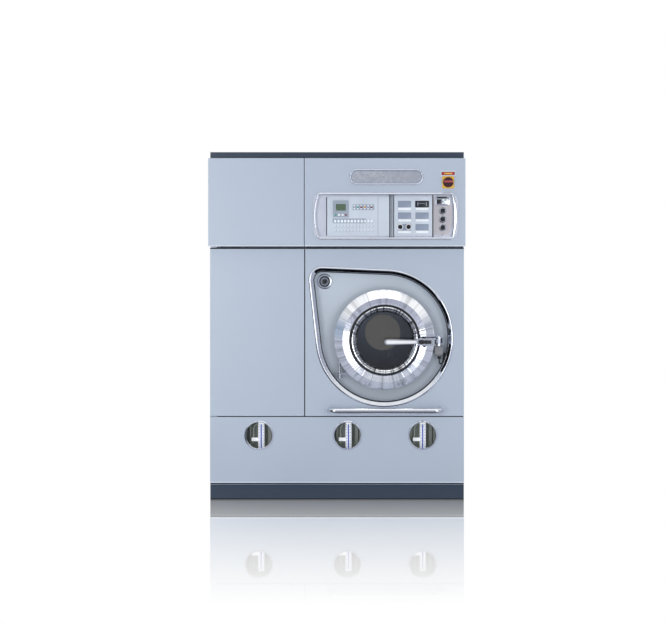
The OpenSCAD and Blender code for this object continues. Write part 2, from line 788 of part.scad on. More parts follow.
module catch_bracket() {
    x = [catch_x - 12, catch_x + 24];
    gap = 14;
    cheek = 6;
    block_y = pan_y - 72;
    color("#8d949d") {
        span([catch_x - 18, catch_x + 26], [pan_y - 4, pan_y], [latch_z - 26, latch_z + 26]);
        span(x, [block_y, pan_y - 4], [latch_z - gap - cheek, latch_z + gap + cheek]);
        for (s = [-1, 1]) difference() {
            union() {
                span([x[0], catch_x + 12], [catch_y, block_y],
                    [latch_z + s * (gap + cheek / 2) - cheek / 2,
                        latch_z + s * (gap + cheek / 2) + cheek / 2]);
                translate([catch_x, catch_y, latch_z + s * (gap + cheek / 2) - cheek / 2])
                    cylinder(r = 12, h = cheek);
            }
            rod_z(catch_x, catch_y, catch_pin_d / 2, latch_z - 40, latch_z + 40);
        }
    }
    // Catch pin with a dome nut at each end
    color("#e3e6ea") {
        rod_z(catch_x, catch_y, catch_pin_d / 2, latch_z - gap - cheek, latch_z + gap + cheek);
        for (s = [-1, 1]) translate([catch_x, catch_y, latch_z + s * (gap + cheek)])
            scale([1, 1, s]) {
                cylinder(r = 10, h = 5);
                translate([0, 0, 5]) intersection() {
                    sphere(r = 7);
                    translate([0, 0, 4]) cube([20, 20, 8], center = true);
                }
            }
    }
}

// Interlock switch, its gland and the grommet where the lead enters the pan
lock_x = [catch_x - 19, catch_x + 29];
lock_z = [latch_z - 82, latch_z - 34];
gland_x = catch_x + 9;
gland_y = pan_y - 28;
grommet_x = catch_x + 39;
grommet_z = latch_z - 87;

module interlock_switch() {
    color("#85868a") span(lock_x, [pan_y - 55, pan_y], lock_z);
    color("#6c6d71") span([lock_x[0] + 4, lock_x[1] - 4], [pan_y - 58, pan_y - 55],
        [lock_z[0] + 4, lock_z[1] - 4]);
    color("#17191c") {
        rod_z(gland_x, gland_y, 8.5, lock_z[0] - 12, lock_z[0]);
        rod_z(gland_x, gland_y, 6.5, lock_z[0] - 24, lock_z[0] - 12);
        rod_z(gland_x, gland_y, 8, lock_z[0] - 30, lock_z[0] - 24);
        rod_y(grommet_x, grommet_z, 7, pan_y - 6, pan_y);
    }
}

// Points of the lead, from the gland round its loop to the grommet
LEAD = [[gland_x, gland_y, lock_z[0] - 30], [gland_x, gland_y, lock_z[0] - 38],
    [gland_x + 1, gland_y + 1, lock_z[0] - 46], [gland_x + 5, gland_y + 3, lock_z[0] - 54],
    [gland_x + 12, gland_y + 6, lock_z[0] - 58], [gland_x + 19, gland_y + 9, lock_z[0] - 54],
    [gland_x + 23, gland_y + 10, lock_z[0] - 44], [gland_x + 25, gland_y + 9, lock_z[0] - 32],
    [gland_x + 27, gland_y + 8, lock_z[0] - 20], [grommet_x - 1, pan_y - 20, grommet_z - 6],
    [grommet_x, pan_y - 14, grommet_z], [grommet_x, pan_y - 6, grommet_z]];
lead_r = 3.8;

// A round tube swept along points: each ring is square to the local direction
function unit(v) = v / norm(v);
function direction(p, i) = i == 0 ? unit(p[1] - p[0])
    : i == len(p) - 1 ? unit(p[i] - p[i - 1]) : unit(p[i + 1] - p[i - 1]);
function side_of(t) = unit(cross(t, [1, 0, 0]));
function ring_at(p, i, r, n) = let (t = direction(p, i), u = side_of(t), v = cross(t, u))
    [for (k = [0:n - 1]) p[i] + r * (cos(k * 360 / n) * u + sin(k * 360 / n) * v)];
module swept(p, r, n) {
    last = len(p) - 1;
    polyhedron([for (i = [0:last]) each ring_at(p, i, r, n)],
        [[for (k = [0:n - 1]) k], [for (k = [n - 1:-1:0]) last * n + k],
            for (i = [0:last - 1], k = [0:n - 1]) let (a = i * n + k, b = i * n + (k + 1) % n)
                each [[a, a + n, b], [b, a + n, b + n]]]);
}

module interlock_lead() {
    color("#111316") swept(LEAD, lead_r, 10);
}

// ---------- loading door ----------

// Section of the ring, as one solid body of revolution without its bore
module ring_outline() {
    polygon([[0, ring_back_h], [ring_r, ring_back_h], [ring_r, lip_h], [cone_r, cone_h],
        [ring_in_r + 3, nose_h], [0, nose_h]]);
}

module door_ring() {
    color("#d5d8dd") spun(door_x, door_z)
        polygon([[ring_r, ring_back_h], [ring_r, lip_h], [cone_r, cone_h], [ring_in_r + 3, nose_h],
            [ring_in_r, nose_h - 2], [ring_in_r, ring_back_h], [ring_in_r + ring_t, ring_back_h],
            [ring_in_r + ring_t, nose_h - ring_t - 2], [cone_r - 2, cone_h - ring_t],
            [ring_r - 7, ring_back_h]]);
}

// Back plate with the tube and seat that carry the glass
module door_plate() {
    tube_r = glass_r + 21;
    color("#8d949d") spun(door_x, door_z)
        polygon([[ring_r - 4, door_back_h], [ring_r - 4, ring_back_h],
            [tube_r, ring_back_h], [tube_r, glass_seat_h], [glass_r - 3, glass_seat_h],
            [glass_r - 3, glass_seat_h - 4], [tube_r - 6, glass_seat_h - 4],
            [tube_r - 6, door_back_h]]);
}

module glass_clamp() {
    h = glass_seat_h + glass_t;
    color("#e0e3e8") spun(door_x, door_z)
        polygon([[glass_r, h], [glass_r, h + 3], [glass_r + 8, nose_h - 5], [glass_r + 14, nose_h - 3],
            [clamp_r - 9, nose_h], [clamp_r - 3, nose_h - 1], [clamp_r, nose_h - 5],
            [clamp_r, h - 6], [clamp_r - 5, h - 6], [clamp_r - 5, h]]);
}

module door_glass() {
    color("#3a4046", 0.5) spun(door_x, door_z)
        polygon([[0, glass_seat_h], [0, glass_seat_h + glass_t],
            [glass_r + 10, glass_seat_h + glass_t], [glass_r + 10, glass_seat_h]]);
}

// Rod, hinge arms and lever ear: what is fixed to the door's plate and ring
module door_fittings() {
    rod_over = 20;
    color("#b9bfc6") rod_z(hinge_x, hinge_y, hinge_rod_d / 2,
        door_z - arm_low - arm_h / 2 - rod_over, door_z + arm_top + arm_h / 2 + rod_over);
    color("#9aa0a8") for (arm = [[-arm_low, 96], [arm_top, 30]]) {
        z = door_z + arm[0];
        difference() {
            union() {
                span([hinge_x, hinge_x + arm[1]], [-door_back_h, hinge_y + 8],
                    [z - arm_h / 2, z + arm_h / 2]);
                rod_z(hinge_x, hinge_y, 10, z - arm_h / 2, z + arm_h / 2);
            }
            rod_z(hinge_x, hinge_y, hinge_rod_d / 2, z - arm_h, z + arm_h);
        }
    }
    // Ear on the satin face that carries the lever's pivot
    ear_h = 24;
    color("#9aa0a8") difference() {
        union() {
            span([pivot_x - 11, pivot_x + 11], [pivot_y, -cone_h + 6],
                [latch_z - ear_h / 2, latch_z + ear_h / 2]);
            rod_z(pivot_x, pivot_y, 11, latch_z - ear_h / 2, latch_z + ear_h / 2);
            span([pivot_x - 17, pivot_x + 14], [-nose_h - 6, -cone_h + 6],
                [latch_z - 26, latch_z + 26]);
        }
        spun(door_x, door_z) ring_outline();
        rod_z(pivot_x, pivot_y, lever_pin_d / 2 + run_clear, latch_z - ear_h, latch_z + ear_h);
    }
}

// Lever: two cheeks round the ear, a claw on the right and a grip on the left
module door_lever() {
    half = lever_h / 2;
    slot = 12 + seat_clear;
    body_y = [pivot_y - 15, pivot_y + 14];
    xr = catch_x - 21;
    claw_y = catch_y + catch_pin_d / 2 + seat_clear;
    color("#c9cdd4") {
        difference() {
            span([pivot_x - 36, xr], body_y, [latch_z - half, latch_z + half]);
            span([pivot_x - 24, pivot_x + 36], [body_y[0] - 1, body_y[1] + 1],
                [latch_z - slot, latch_z + slot]);
            rod_z(pivot_x, pivot_y, lever_pin_d / 2, latch_z - half - 1, latch_z + half + 1);
        }
        // Claw: back from the body, then behind the catch pin
        difference() {
            translate([0, 0, latch_z - claw_h / 2]) linear_extrude(claw_h)
                polygon([[xr - 20, body_y[1]], [xr, body_y[1]], [xr, claw_y - 12], [catch_x - 10, claw_y],
                    [catch_x + 3, claw_y], [catch_x + 4, claw_y + 2], [catch_x, claw_y + claw_t - 2],
                    [catch_x - 6, claw_y + claw_t], [xr - 6, claw_y + claw_t - 2],
                    [xr - 20, claw_y - 10]]);
        }
    }
    color("#f0f1f3") translate([0, 0, latch_z]) plate_y(pivot_y - 19, pivot_y - 1) intersection() {
        taper(door_x + grip_h / 2 - 2, grip_h / 2, pivot_x - 36, 10);
        translate([door_x - 10, -50]) square([pivot_x - 36 - door_x + 10, 100]);
    }
    color("#2b2f34") {
        rod_z(pivot_x, pivot_y, lever_pin_d / 2, latch_z - half, latch_z + half);
        for (s = [-1, 1]) translate([pivot_x, pivot_y, latch_z + s * (half + 2)])
            cylinder(r = 9, h = 4, center = true);
    }
}

// ---------- drum ----------

module mouth_ring() {
    h0 = -shell_front_y;
    color("#b7bcc3") spun(door_x, door_z)
        polygon([[mouth_r, h0], [mouth_r, mouth_front_h], [mouth_flange_r, mouth_front_h],
            [mouth_flange_r, mouth_front_h - 6], [mouth_r + 5, mouth_front_h - 6], [mouth_r + 5, h0]]);
}

module door_seal() {
    color("#15171a") spun(door_x, door_z)
        polygon([[mouth_r + 2, mouth_front_h], [mouth_r + 2, mouth_front_h + 5],
            [mouth_r + 6, mouth_front_h + seal_t], [mouth_r + 14, mouth_front_h + seal_t],
            [mouth_r + 20, mouth_front_h + 4], [mouth_r + 22, mouth_front_h]]);
}

module drum_shell() {
    foot_x = 260;
    foot_t = 20;
    color("#a9afb7") {
        spun(door_x, door_z) polygon([[mouth_r, -shell_front_y], [shell_r, -shell_front_y],
            [shell_r, -shell_end_y], [shaft_d / 2 + 6, -shell_end_y],
            [shaft_d / 2 + 6, -shell_back_y], [shell_r - shell_t, -shell_back_y],
            [shell_r - shell_t, -shell_front_y - shell_t], [mouth_r, -shell_front_y - shell_t]]);
        // Saddles that stand on the middle rails
        for (y = [shell_front_y + 90, shell_end_y - 110]) difference() {
            span([door_x - foot_x, door_x + foot_x], [y, y + foot_t],
                [mid_rail_top, door_z - shell_r / 2]);
            rod_y(door_x, door_z, shell_r - 1, y - 1, y + foot_t + 1);
            span([door_x - foot_x / 2, door_x + foot_x / 2], [y - 1, y + foot_t + 1],
                [mid_rail_top - 1, door_z]);
        }
    }
}

module bearing_housing() {
    y0 = shell_end_y;
    body_r = 80;
    seat_r = 55;
    gussets = 6;
    bearing_w = 30;
    color("#7b828b") difference() {
        union() {
            rod_y(door_x, door_z, 190, y0, y0 + 14);
            rod_y(door_x, door_z, body_r, y0 + 14, housing_end_y);
            for (i = [0:gussets - 1]) translate([door_x, 0, door_z]) rotate([0, 30 + i * 60, 0])
                translate([0, y0 + 14, 0]) rotate([0, 0, 90]) rotate([90, 0, 0])
                    linear_extrude(12, center = true)
                    polygon([[0, body_r - 6], [120, body_r - 6], [0, 180]]);
        }
        rod_y(door_x, door_z, seat_r, y0 - 1, housing_end_y + 1);
    }
    color("#c8ccd2") for (y = [y0 + 4, housing_end_y - bearing_w - 4]) difference() {
        rod_y(door_x, door_z, seat_r, y, y + bearing_w);
        rod_y(door_x, door_z, shaft_d / 2 + run_clear, y - 1, y + bearing_w + 1);
    }
}

// Rolled wall of the cage, with rows of holes between the lifters
module cage_wrap() {
    margin = 44;
    pitch = (cage_d - 2 * margin) / (holes_rows - 1);
    color("#b9bec5") difference() {
        rod_y(door_x, door_z, cage_r, cage_y0, cage_y1);
        rod_y(door_x, door_z, cage_r - cage_t, cage_y0 - 1, cage_y1 + 1);
        for (i = [0:holes_round - 1], j = [0:holes_rows - 1])
            translate([door_x, cage_y0 + margin + j * pitch, door_z])
                rotate([0, (i + 0.5) * 360 / holes_round, 0])
                    translate([0, 0, cage_r - cage_t - 4]) cylinder(d = hole_d, h = cage_t + 8, $fn = 24);
    }
}

module cage_ends() {
    r = cage_r - cage_t;
    h0 = -cage_y0;
    color("#b9bec5") {
        // Front ring with a rolled mouth
        spun(door_x, door_z) polygon([[mouth_r + 7, h0 - cage_t], [mouth_r + 7, h0 + 6],
            [mouth_r + 11, h0 + 6], [mouth_r + 16, h0], [r, h0], [r, h0 - cage_t]]);
        // Back plate, with a domed hub cover
        rod_y(door_x, door_z, r, cage_y1 - cage_t, cage_y1);
        spun(door_x, door_z) polygon([[0, -cage_y1 + cage_t], [0, -cage_y1 + 18],
            [60, -cage_y1 + 15], [96, -cage_y1 + 9], [108, -cage_y1 + cage_t]]);
    }
}

module lifters() {
    r = cage_r - cage_t;
    half_w = 55;
    tip_r = 16;
    color("#a7adb5") for (i = [0:2]) translate([door_x, 0, door_z]) rotate([0, 60 + i * 120, 0])
        plate_y(cage_y0 + cage_t, cage_y1 - cage_t) intersection() {
            circle(r = r, $fn = 128);
            union() {
                translate([0, r - lifter_h + tip_r]) circle(r = tip_r);
                polygon([[-tip_r, r - lifter_h + tip_r], [tip_r, r - lifter_h + tip_r],
                    [half_w, r + 5], [-half_w, r + 5]]);
            }
        }
}

module drum_shaft() {
    color("#8d949d") {
        rod_y(door_x, door_z, 130, cage_y1, cage_y1 + 14);
        rod_y(door_x, door_z, shaft_d / 2, cage_y1 + 14, pulley_y + pulley_w + 8);
    }
}

// Radial profile of a pulley with three V grooves
module pulley_profile(r, bore) {
    edge = (pulley_w - 2 * groove_pitch - groove_w) / 2;
    polygon(concat([[bore, 0], [r + 5, 0]],
        [for (i = [0:2]) each [[r + 5, edge + i * groove_pitch],
            [r + 5 - groove_d, edge + i * groove_pitch + 3],
            [r + 5 - groove_d, edge + i * groove_pitch + groove_w - 3],
            [r + 5, edge + i * groove_pitch + groove_w]]],
        [[r + 5, pulley_w], [bore, pulley_w]]));
}

module drum_pulley() {
    spokes = 5;
    color("#5d646c") difference() {
        spun(door_x, door_z) translate([0, -pulley_y - pulley_w])
            pulley_profile(drum_pulley_r, shaft_d / 2);
        // The web is set in from both faces and pierced between its arms
        for (y = [pulley_y - 1, pulley_y + pulley_w - 21]) difference() {
            rod_y(door_x, door_z, drum_pulley_r - 24, y, y + 22);
            rod_y(door_x, door_z, 56, y - 1, y + 23);
        }
        for (i = [0:spokes - 1]) translate([door_x, 0, door_z]) rotate([0, i * 360 / spokes, 0])
            rod_y(132, 0, 48, pulley_y - 1, pulley_y + pulley_w + 1);
    }
}

module motor_pulley() {
    color("#5d646c") spun(door_x, motor_z) translate([0, -pulley_y - pulley_w])
        pulley_profile(motor_pulley_r, 0);
    color("#c8ccd2") rod_y(door_x, motor_z, motor_shaft_d / 2, motor_y[1] - 60, pulley_y);
}
motor_y = [pulley_y - 210, pulley_y - 10];

module drive_motor() {
    fins = 24;
    color("#55606b") difference() {
        union() {
            rod_y(door_x, motor_z, motor_r - 9, motor_y[0], motor_y[1]);
            for (i = [0:fins - 1]) translate([door_x, 0, motor_z]) rotate([0, i * 360 / fins, 0])
                span([-1.5, 1.5], [motor_y[0] + 25, motor_y[1] - 20], [motor_r - 12, motor_r]);
            span([door_x - 80, door_x + 80], [motor_y[0] + 30, motor_y[1] - 30],
                [mid_rail_top + 10, motor_z - motor_r + 24]);
            span([door_x + motor_r - 16, door_x + motor_r + 40], [motor_y[0] + 40, motor_y[0] + 130],
                [motor_z - 20, motor_z + 50]);
        }
        rod_y(door_x, motor_z, motor_shaft_d / 2 + run_clear, motor_y[1] - 61, motor_y[1] + 1);
    }
    // Mounting plate on the beams
    color("#6d747d") span([door_x - 236, door_x + 236], [motor_y[0] + 20, motor_y[1] - 20],
        [mid_rail_top, mid_rail_top + 10]);
}

module drive_belts() {
    edge = (pulley_w - 2 * groove_pitch - groove_w) / 2;
    c = belt_clear;
    color("#1b1d20") for (i = [0:2])
        translate([door_x, pulley_y + edge + groove_w + i * groove_pitch, door_z])
            loop([[5, c], [5, groove_w - c], [6 - groove_d, groove_w - 3 - c], [6 - groove_d, 3 + c]],
                drum_pulley_r, motor_pulley_r, door_z - motor_z, -90);
}

// ---------- solvent circuit ----------

pipe_r = 25;
vapour_r = 30;
pump_x = centre_post_x0 - 4 - pipe_r;
still_left = x0 + 60;
still_r = (pump_x - 75 - still_left) / 2;
still_x = still_left + still_r;
still_y = rear_y - still_r - 90;
tank_y = [front_y + 130, still_y - still_r - 50];
tank_z = [plinth_h + tray_t, mid_rail_z - 12];
tank_side = 18;
tank_gap = 8;
tank_split = [split_x - 5, door_x - 1];
tank_x = [[x0 + tank_side, tank_split[0] - tank_gap / 2],
    [tank_split[0] + tank_gap / 2, tank_split[1] - tank_gap / 2],
    [tank_split[1] + tank_gap / 2, x1 - tank_side]];
gauge_dx = 5;
trap_w = 120;
trap_x = centre_post_x0 - 2 - trap_w / 2;
trap_y = front_y + 155;
pump_y = rear_y - 350;
pump_rise = 110;
filter_r = 150;
filter_x = x0 + filter_r + 100;
filter_y = front_y + filter_r + 120;

module solvent_tanks() {
    wall = 4;
    arch_r = 32;
    arch_tube = 6;
    hatch_r = 60;
    for (i = [0:2]) {
        x = tank_x[i];
        color("#78807c") difference() {
            span(x, tank_y, tank_z);
            span([x[0] + wall, x[1] - wall], [tank_y[0] + wall, tank_y[1] - wall],
                [tank_z[0] + wall, tank_z[1] - wall]);
            rod_z((x[0] + x[1]) / 2, tank_y[0] + 350, hatch_r, tank_z[1] - wall - 1, tank_z[1] + 1);
        }
        color("#8d949d") rod_z((x[0] + x[1]) / 2, tank_y[0] + 350, hatch_r + 20,
            tank_z[1], tank_z[1] + 8);
        // Stiffeners beside the gauge, and an arched vent pipe with a foot at each end
        color("#858d88") {
            for (dx = [[-67, -57], [42, 61], [67, 81]])
                span([port_x[i] + dx[0], port_x[i] + dx[1]], [tank_y[0] - 24, tank_y[0]],
                    [port_z - 120, tank_z[1]]);
        }
        color("#a5ab9f") translate([port_x[i] - 12, tank_y[0] - 30, 0]) {
            for (s = [-1, 1]) {
                rod_z(s * arch_r, 0, arch_tube, port_z - 60, port_z + 18);
                rod_y(s * arch_r, port_z - 60, arch_tube, -6, 30);
            }
            translate([0, 0, port_z + 18]) rotate([90, 0, 0]) rotate_extrude(angle = 180)
                translate([arch_r, 0]) circle(r = arch_tube);
        }
    }
}

// White scales beside the sight tubes, with a bare tag plate
module gauge_scales() {
    gauge_h = [port_z - 104, port_z + 62];
    y = tank_y[0] - 60;
    color("#eef2f6") for (x = port_x) {
        difference() {
            span([x + gauge_dx - 17, x + gauge_dx + 17], [y, y + 12], gauge_h);
            span([x + gauge_dx - 6, x + gauge_dx + 5], [y - 1, y + 10], [gauge_h[0] + 12, gauge_h[1] - 12]);
        }
        span([x + gauge_dx - 57, x + gauge_dx - 17], [y + 4, y + 7], [port_z - 48, port_z - 28]);
        for (z = [gauge_h[0] + 6, gauge_h[1] - 6]) rod_y(x + gauge_dx, z, 3, y + 12, tank_y[0]);
    }
}

module gauge_tubes() {
    y = tank_y[0] - 60;
    color("#5f70b0") for (x = port_x)
        rod_z(x + gauge_dx - 0.5, y + 5, 4.5, port_z - 92, port_z + 50);
}

module button_trap() {
    x = [trap_x - trap_w / 2, trap_x + trap_w / 2];
    y = [trap_y - 85, trap_y + 85];
    z = [shelf_z + 20, shelf_z + 250];
    color("#8b939b") {
        span(x, y, z);
        for (px = [x[0], x[1] - 14], py = [y[0], y[1] - 14])
            span([px, px + 14], [py, py + 14], [shelf_z, z[0]]);
    }
    // Bolted lid with a handwheel
    color("#a7adb5") {
        span([x[0] + 6, x[1] - 6], [y[0] - 12, y[0]], [z[0] + 30, z[1] - 20]);
        rod_y(trap_x, (z[0] + z[1]) / 2, 8, y[0] - 16, y[0] - 12);
        spun(trap_x, (z[0] + z[1]) / 2) translate([34, -y[0] + 18]) circle(r = 4);
        for (a = [0, 60, 120]) translate([trap_x, 0, (z[0] + z[1]) / 2]) rotate([0, a, 0])
            rod_x(y[0] - 18, 0, 3, -34, 34);
    }
}

module filter_housing() {
    r = filter_r;
    wall = 5;
    z = [shelf_z, shelf_z + 720];
    color("#a2a8af") difference() {
        union() {
            rod_z(filter_x, filter_y, r, z[0] + 60, z[1]);
            for (a = [45:90:315]) translate([filter_x, filter_y, z[0]]) rotate([0, 0, a])
                translate([r - 40, -10, 0]) cube([20, 20, 70]);
            rod_z(filter_x, filter_y, r + 18, z[1] - 14, z[1]);
        }
        rod_z(filter_x, filter_y, r - wall, z[0] + 60 + wall, z[1] + 1);
    }
    // Domed lid with its bolts
    color("#b3b9c0") translate([filter_x, filter_y, 0]) {
        rotate_extrude() polygon([[0, z[1]], [r + 18, z[1]], [r + 18, z[1] + 14], [r - 4, z[1] + 16],
            [r - 30, z[1] + 40], [r - 80, z[1] + 54], [0, z[1] + 60]]);
        for (a = [0:45:315]) rotate([0, 0, a]) translate([r + 8, 0, z[1] + 14])
            cylinder(r = 7, h = 12);
    }
}

module solvent_pump() {
    z = plinth_h + tray_t + pump_rise;
    color("#5a7089") {
        rod_y(pump_x, z, 80, pump_y - 50, pump_y + 20);
        rod_y(pump_x, z, 36, pump_y - 66, pump_y - 50);
        rod_z(pump_x, pump_y, pipe_r + 5, z, z + 92);
        rod_y(pump_x, z, 66, pump_y + 20, pump_y + 200);
        span([pump_x - 60, pump_x + 60], [pump_y - 40, pump_y + 190], [plinth_h + tray_t, z - 50]);
    }
}

module still() {
    r = still_r;
    z = [plinth_h + tray_t, mid_rail_z - 8];
    color("#9097a0") translate([still_x, still_y, 0]) {
        rotate_extrude() polygon([[0, z[0] + 40], [r - 40, z[0] + 40], [r, z[0] + 90], [r, z[1] - 60],
            [r - 50, z[1] - 16], [vapour_r + 10, z[1]], [0, z[1]]]);
        for (a = [45:90:315]) rotate([0, 0, a]) translate([r - 60, -12, z[0]]) cube([24, 24, 60]);
        translate([0, 0, z[1]]) cylinder(r = vapour_r, h = shelf_z + 30 - z[1]);
    }
    // Vapour condenser on the shelf, straight above
    color("#a7adb5") difference() {
        rod_z(still_x, still_y, 110, shelf_z, shelf_z + 600);
        rod_z(still_x, still_y, vapour_r, shelf_z - 1, shelf_z + 30);
    }
    color("#8d949d") for (dz = [80, 520]) difference() {
        rod_z(still_x, still_y, 122, shelf_z + dz, shelf_z + dz + 16);
        rod_z(still_x, still_y, 110, shelf_z + dz - 1, shelf_z + dz + 17);
    }
}

module solvent_pipes() {
    y_drain = trap_y - 15;
    z_drain = shelf_z + 204;
    z_pump = plinth_h + tray_t + pump_rise;
    z_feed = shelf_z + 144;
    bend = 60;
    color("#9aa4ad") {
        // Drum drain into the trap
        difference() {
            rod_x(y_drain, z_drain, 30, trap_x + trap_w / 2, door_x - 200);
            rod_y(door_x, door_z, shell_r, y_drain - 40, y_drain + 40);
        }
        // Trap outlet down to the left tank
        rod_z(trap_x, trap_y, pipe_r, tank_z[1], shelf_z + 20);
        // Tank outlet to the pump
        rod_y(pump_x, z_pump, pipe_r, tank_y[1], pump_y - 66);
        // Pump delivery up, forward and into the filter
        rod_z(pump_x, pump_y, pipe_r, z_pump + 92, z_feed - bend);
        translate([pump_x, pump_y - bend, z_feed - bend]) rotate([90, 0, 90])
            rotate_extrude(angle = 90) translate([bend, 0]) circle(r = pipe_r);
        rod_y(pump_x, z_feed, pipe_r, feed_y + bend, pump_y - bend);
        translate([pump_x - bend, feed_y + bend, z_feed]) rotate([0, 0, -90])
            rotate_extrude(angle = 90) translate([bend, 0]) circle(r = pipe_r);
        difference() {
            rod_x(feed_y, z_feed, pipe_r, filter_x, pump_x - bend);
            rod_z(filter_x, filter_y, filter_r, z_feed - 40, z_feed + 40);
        }
    }
}
feed_y = filter_y + 70;

// ---------- air circuit ----------

rise_x = [door_x - 80, door_x + 80];
rise_y = [cage_y0 + 150, cage_y0 + 320];
fall_x = [door_x + 247, door_x + 347];
fall_y = [fan_y0 + 20, fan_y0 + 120];

module recovery_unit() {
    box_x = [x1 - 670, x1 - 90];
    box_y = [front_y + 250, fan_y0];
    box_z = [upper_deck_z, upper_deck_z + 356];
    t = 3;
    color("#a3abb5") {
        difference() {
            span(box_x, box_y, box_z);
            span([box_x[0] + t, box_x[1] - t], [box_y[0] + t, box_y[1] - t],
                [box_z[0] + t, box_z[1] - t]);
            span(rise_x, rise_y, [box_z[0] - 1, box_z[0] + t + 1]);
            rod_y(fan_x, fan_z, 100, box_y[1] - t - 1, box_y[1] + 1);
        }
        // Duct from the drum shell up into the box
        difference() {
            span(rise_x, rise_y, [door_z + shell_r - 40, box_z[0]]);
            span([rise_x[0] + t, rise_x[1] - t], [rise_y[0] + t, rise_y[1] - t],
                [door_z + shell_r - 60, box_z[0] + 1]);
            rod_y(door_x, door_z, shell_r, rise_y[0] - 1, rise_y[1] + 1);
        }
        // Duct from the fan down and forward to the back of the drum shell
        difference() {
            union() {
                span(fall_x, fall_y, [fall_z - 60, upper_deck_z + 6]);
                span(fall_x, [shell_end_y, fall_y[1]], [fall_z - 60, fall_z + 60]);
            }
            span([fall_x[0] + t, fall_x[1] - t], [fall_y[0] + t, fall_y[1] - t],
                [fall_z - 60 + t, upper_deck_z + 7]);
            span([fall_x[0] + t, fall_x[1] - t], [shell_end_y - 1, fall_y[1] - t],
                [fall_z - 60 + t, fall_z + 60 - t]);
        }
    }
    // Rows of coil tubes between two header plates, inside the box
    color("#b98a5a") for (x = [box_x[0] + 70:60:box_x[1] - 90], z = [box_z[0] + 80, box_z[0] + 180, box_z[0] + 280])
        rod_y(x, z, 9, box_y[0] + 40, box_y[1] - 120);
    color("#8d949d") for (y = [box_y[0] + 36, box_y[1] - 120])
        span([box_x[0] + t, box_x[1] - t], [y, y + 4], [box_z[0] + 40, box_z[0] + 320]);
}
fall_z = door_z + 217;

// Scroll outline of the fan: the radius grows steadily round the wheel
scroll_r = 138;
scroll_grow = 32;
module scroll(grow) {
    outlet = [[fall_x[1] - fan_x + grow, -scroll_r - scroll_grow - grow],
        [fall_x[1] - fan_x + grow, -scroll_r + 70 + grow]];
    polygon(concat(
        [for (a = [0:10:270]) let (r = scroll_r + grow + scroll_grow * a / 270) [r * cos(a), r * sin(a)]],
        outlet, [[scroll_r + grow, -scroll_r + 70 + grow]]));
}

module fan_housing() {
    t = 3;
    y = [fan_y0, fan_y0 + fan_w];
    color("#8f98a3") difference() {
        plate_y(y[0], y[1]) translate([fan_x, fan_z]) scroll(0);
        plate_y(y[0] + t, y[1] - t) translate([fan_x, fan_z]) scroll(-t);
        rod_y(fan_x, fan_z, 90, y[0] - 1, y[0] + t + 1);
        rod_y(fan_x, fan_z, 12, y[1] - t - 1, y[1] + 1);
        span([fall_x[0] + t, fall_x[1] - t], [fall_y[0] + t, fall_y[1] - 20],
            [fan_z - scroll_r - scroll_grow - 1, fan_z - scroll_r - scroll_grow + t + 1]);
    }
    // Flanged motor on the back of the housing
    color("#55606b") difference() {
        union() {
            rod_y(fan_x, fan_z, 90, y[1], y[1] + 12);
            rod_y(fan_x, fan_z, 70, y[1] + 12, y[1] + 170);
            for (i = [0:15]) translate([fan_x, 0, fan_z]) rotate([0, i * 22.5, 0])
                span([-1.5, 1.5], [y[1] + 30, y[1] + 150], [66, 76]);
        }
        rod_y(fan_x, fan_z, 10 + run_clear, y[1] - 1, y[1] + 60);
    }
}

module fan_impeller() {
    blades = 18;
    r_in = 72;
    r_out = 112;
    y = [fan_y0 + 16, fan_y0 + fan_w - 18];
    blade_t = 2.5;
    color("#b3b9c0") {
        rod_y(fan_x, fan_z, r_out, y[1] - 4, y[1]);
        rod_y(fan_x, fan_z, 24, y[1] - 50, y[1] - 4);
        rod_y(fan_x, fan_z, 10, y[1], fan_y0 + fan_w + 55);
        difference() {
            rod_y(fan_x, fan_z, r_out, y[0], y[0] + 4);
            rod_y(fan_x, fan_z, r_in + 6, y[0] - 1, y[0] + 5);
        }
        for (i = [0:blades - 1]) translate([fan_x, 0, fan_z]) rotate([0, i * 360 / blades, 0])
            plate_y(y[0] + 2, y[1] - 2) polygon([[r_in, 0], [r_in + 20, 8], [r_out - 1, 22],
                [r_out - 1 - blade_t, 24], [r_in + 19, 8 + blade_t], [r_in - 1, blade_t]]);
    }
}

module compressor() {
    x = x1 - 230;
    y = rear_y - 220;
    z = plinth_h + tray_t;
    color("#23272c") translate([x, y, 0]) {
        rotate_extrude() polygon([[0, z + 20], [100, z + 20], [112, z + 40], [112, z + 250],
            [96, z + 290], [60, z + 306], [0, z + 310]]);
        for (a = [45:90:315]) rotate([0, 0, a]) translate([100, 0, z]) cylinder(r = 18, h = 60);
    }
}

module electrical_box() {
    x = [x0 + 80, split_x - 54];
    y = [front_y + 80, front_y + 280];
    z = [upper_deck_z, body_h - rail - 47];
    color("#a9b0b8") difference() {
        span(x, y, z);
        span([x[0] + sheet, x[1] - sheet], [y[0] - 1, y[1] - sheet], [z[0] + sheet, z[1] - sheet]);
    }
    color("#b9c0c8") span([x[0], x[1]], [y[0] - 4, y[0]], z);
    color("#6f7a86") span([x[0] + 30, x[1] - 30], [y[1] - sheet - 60, y[1] - sheet],
        [z[0] + 40, z[1] - 40]);
}

// ---------- service door ----------

module service_door() {
    color("#b2becd") difference() {
        tray_back([x0, split_x0], [front_y, front_y + service_t], [mid_z0, mid_z1]);
        for (z = [mid_z0, mid_z1])
            rod_z(service_px, service_py, service_pin_d / 2 + run_clear, z - 10, z + 10);
    }
}

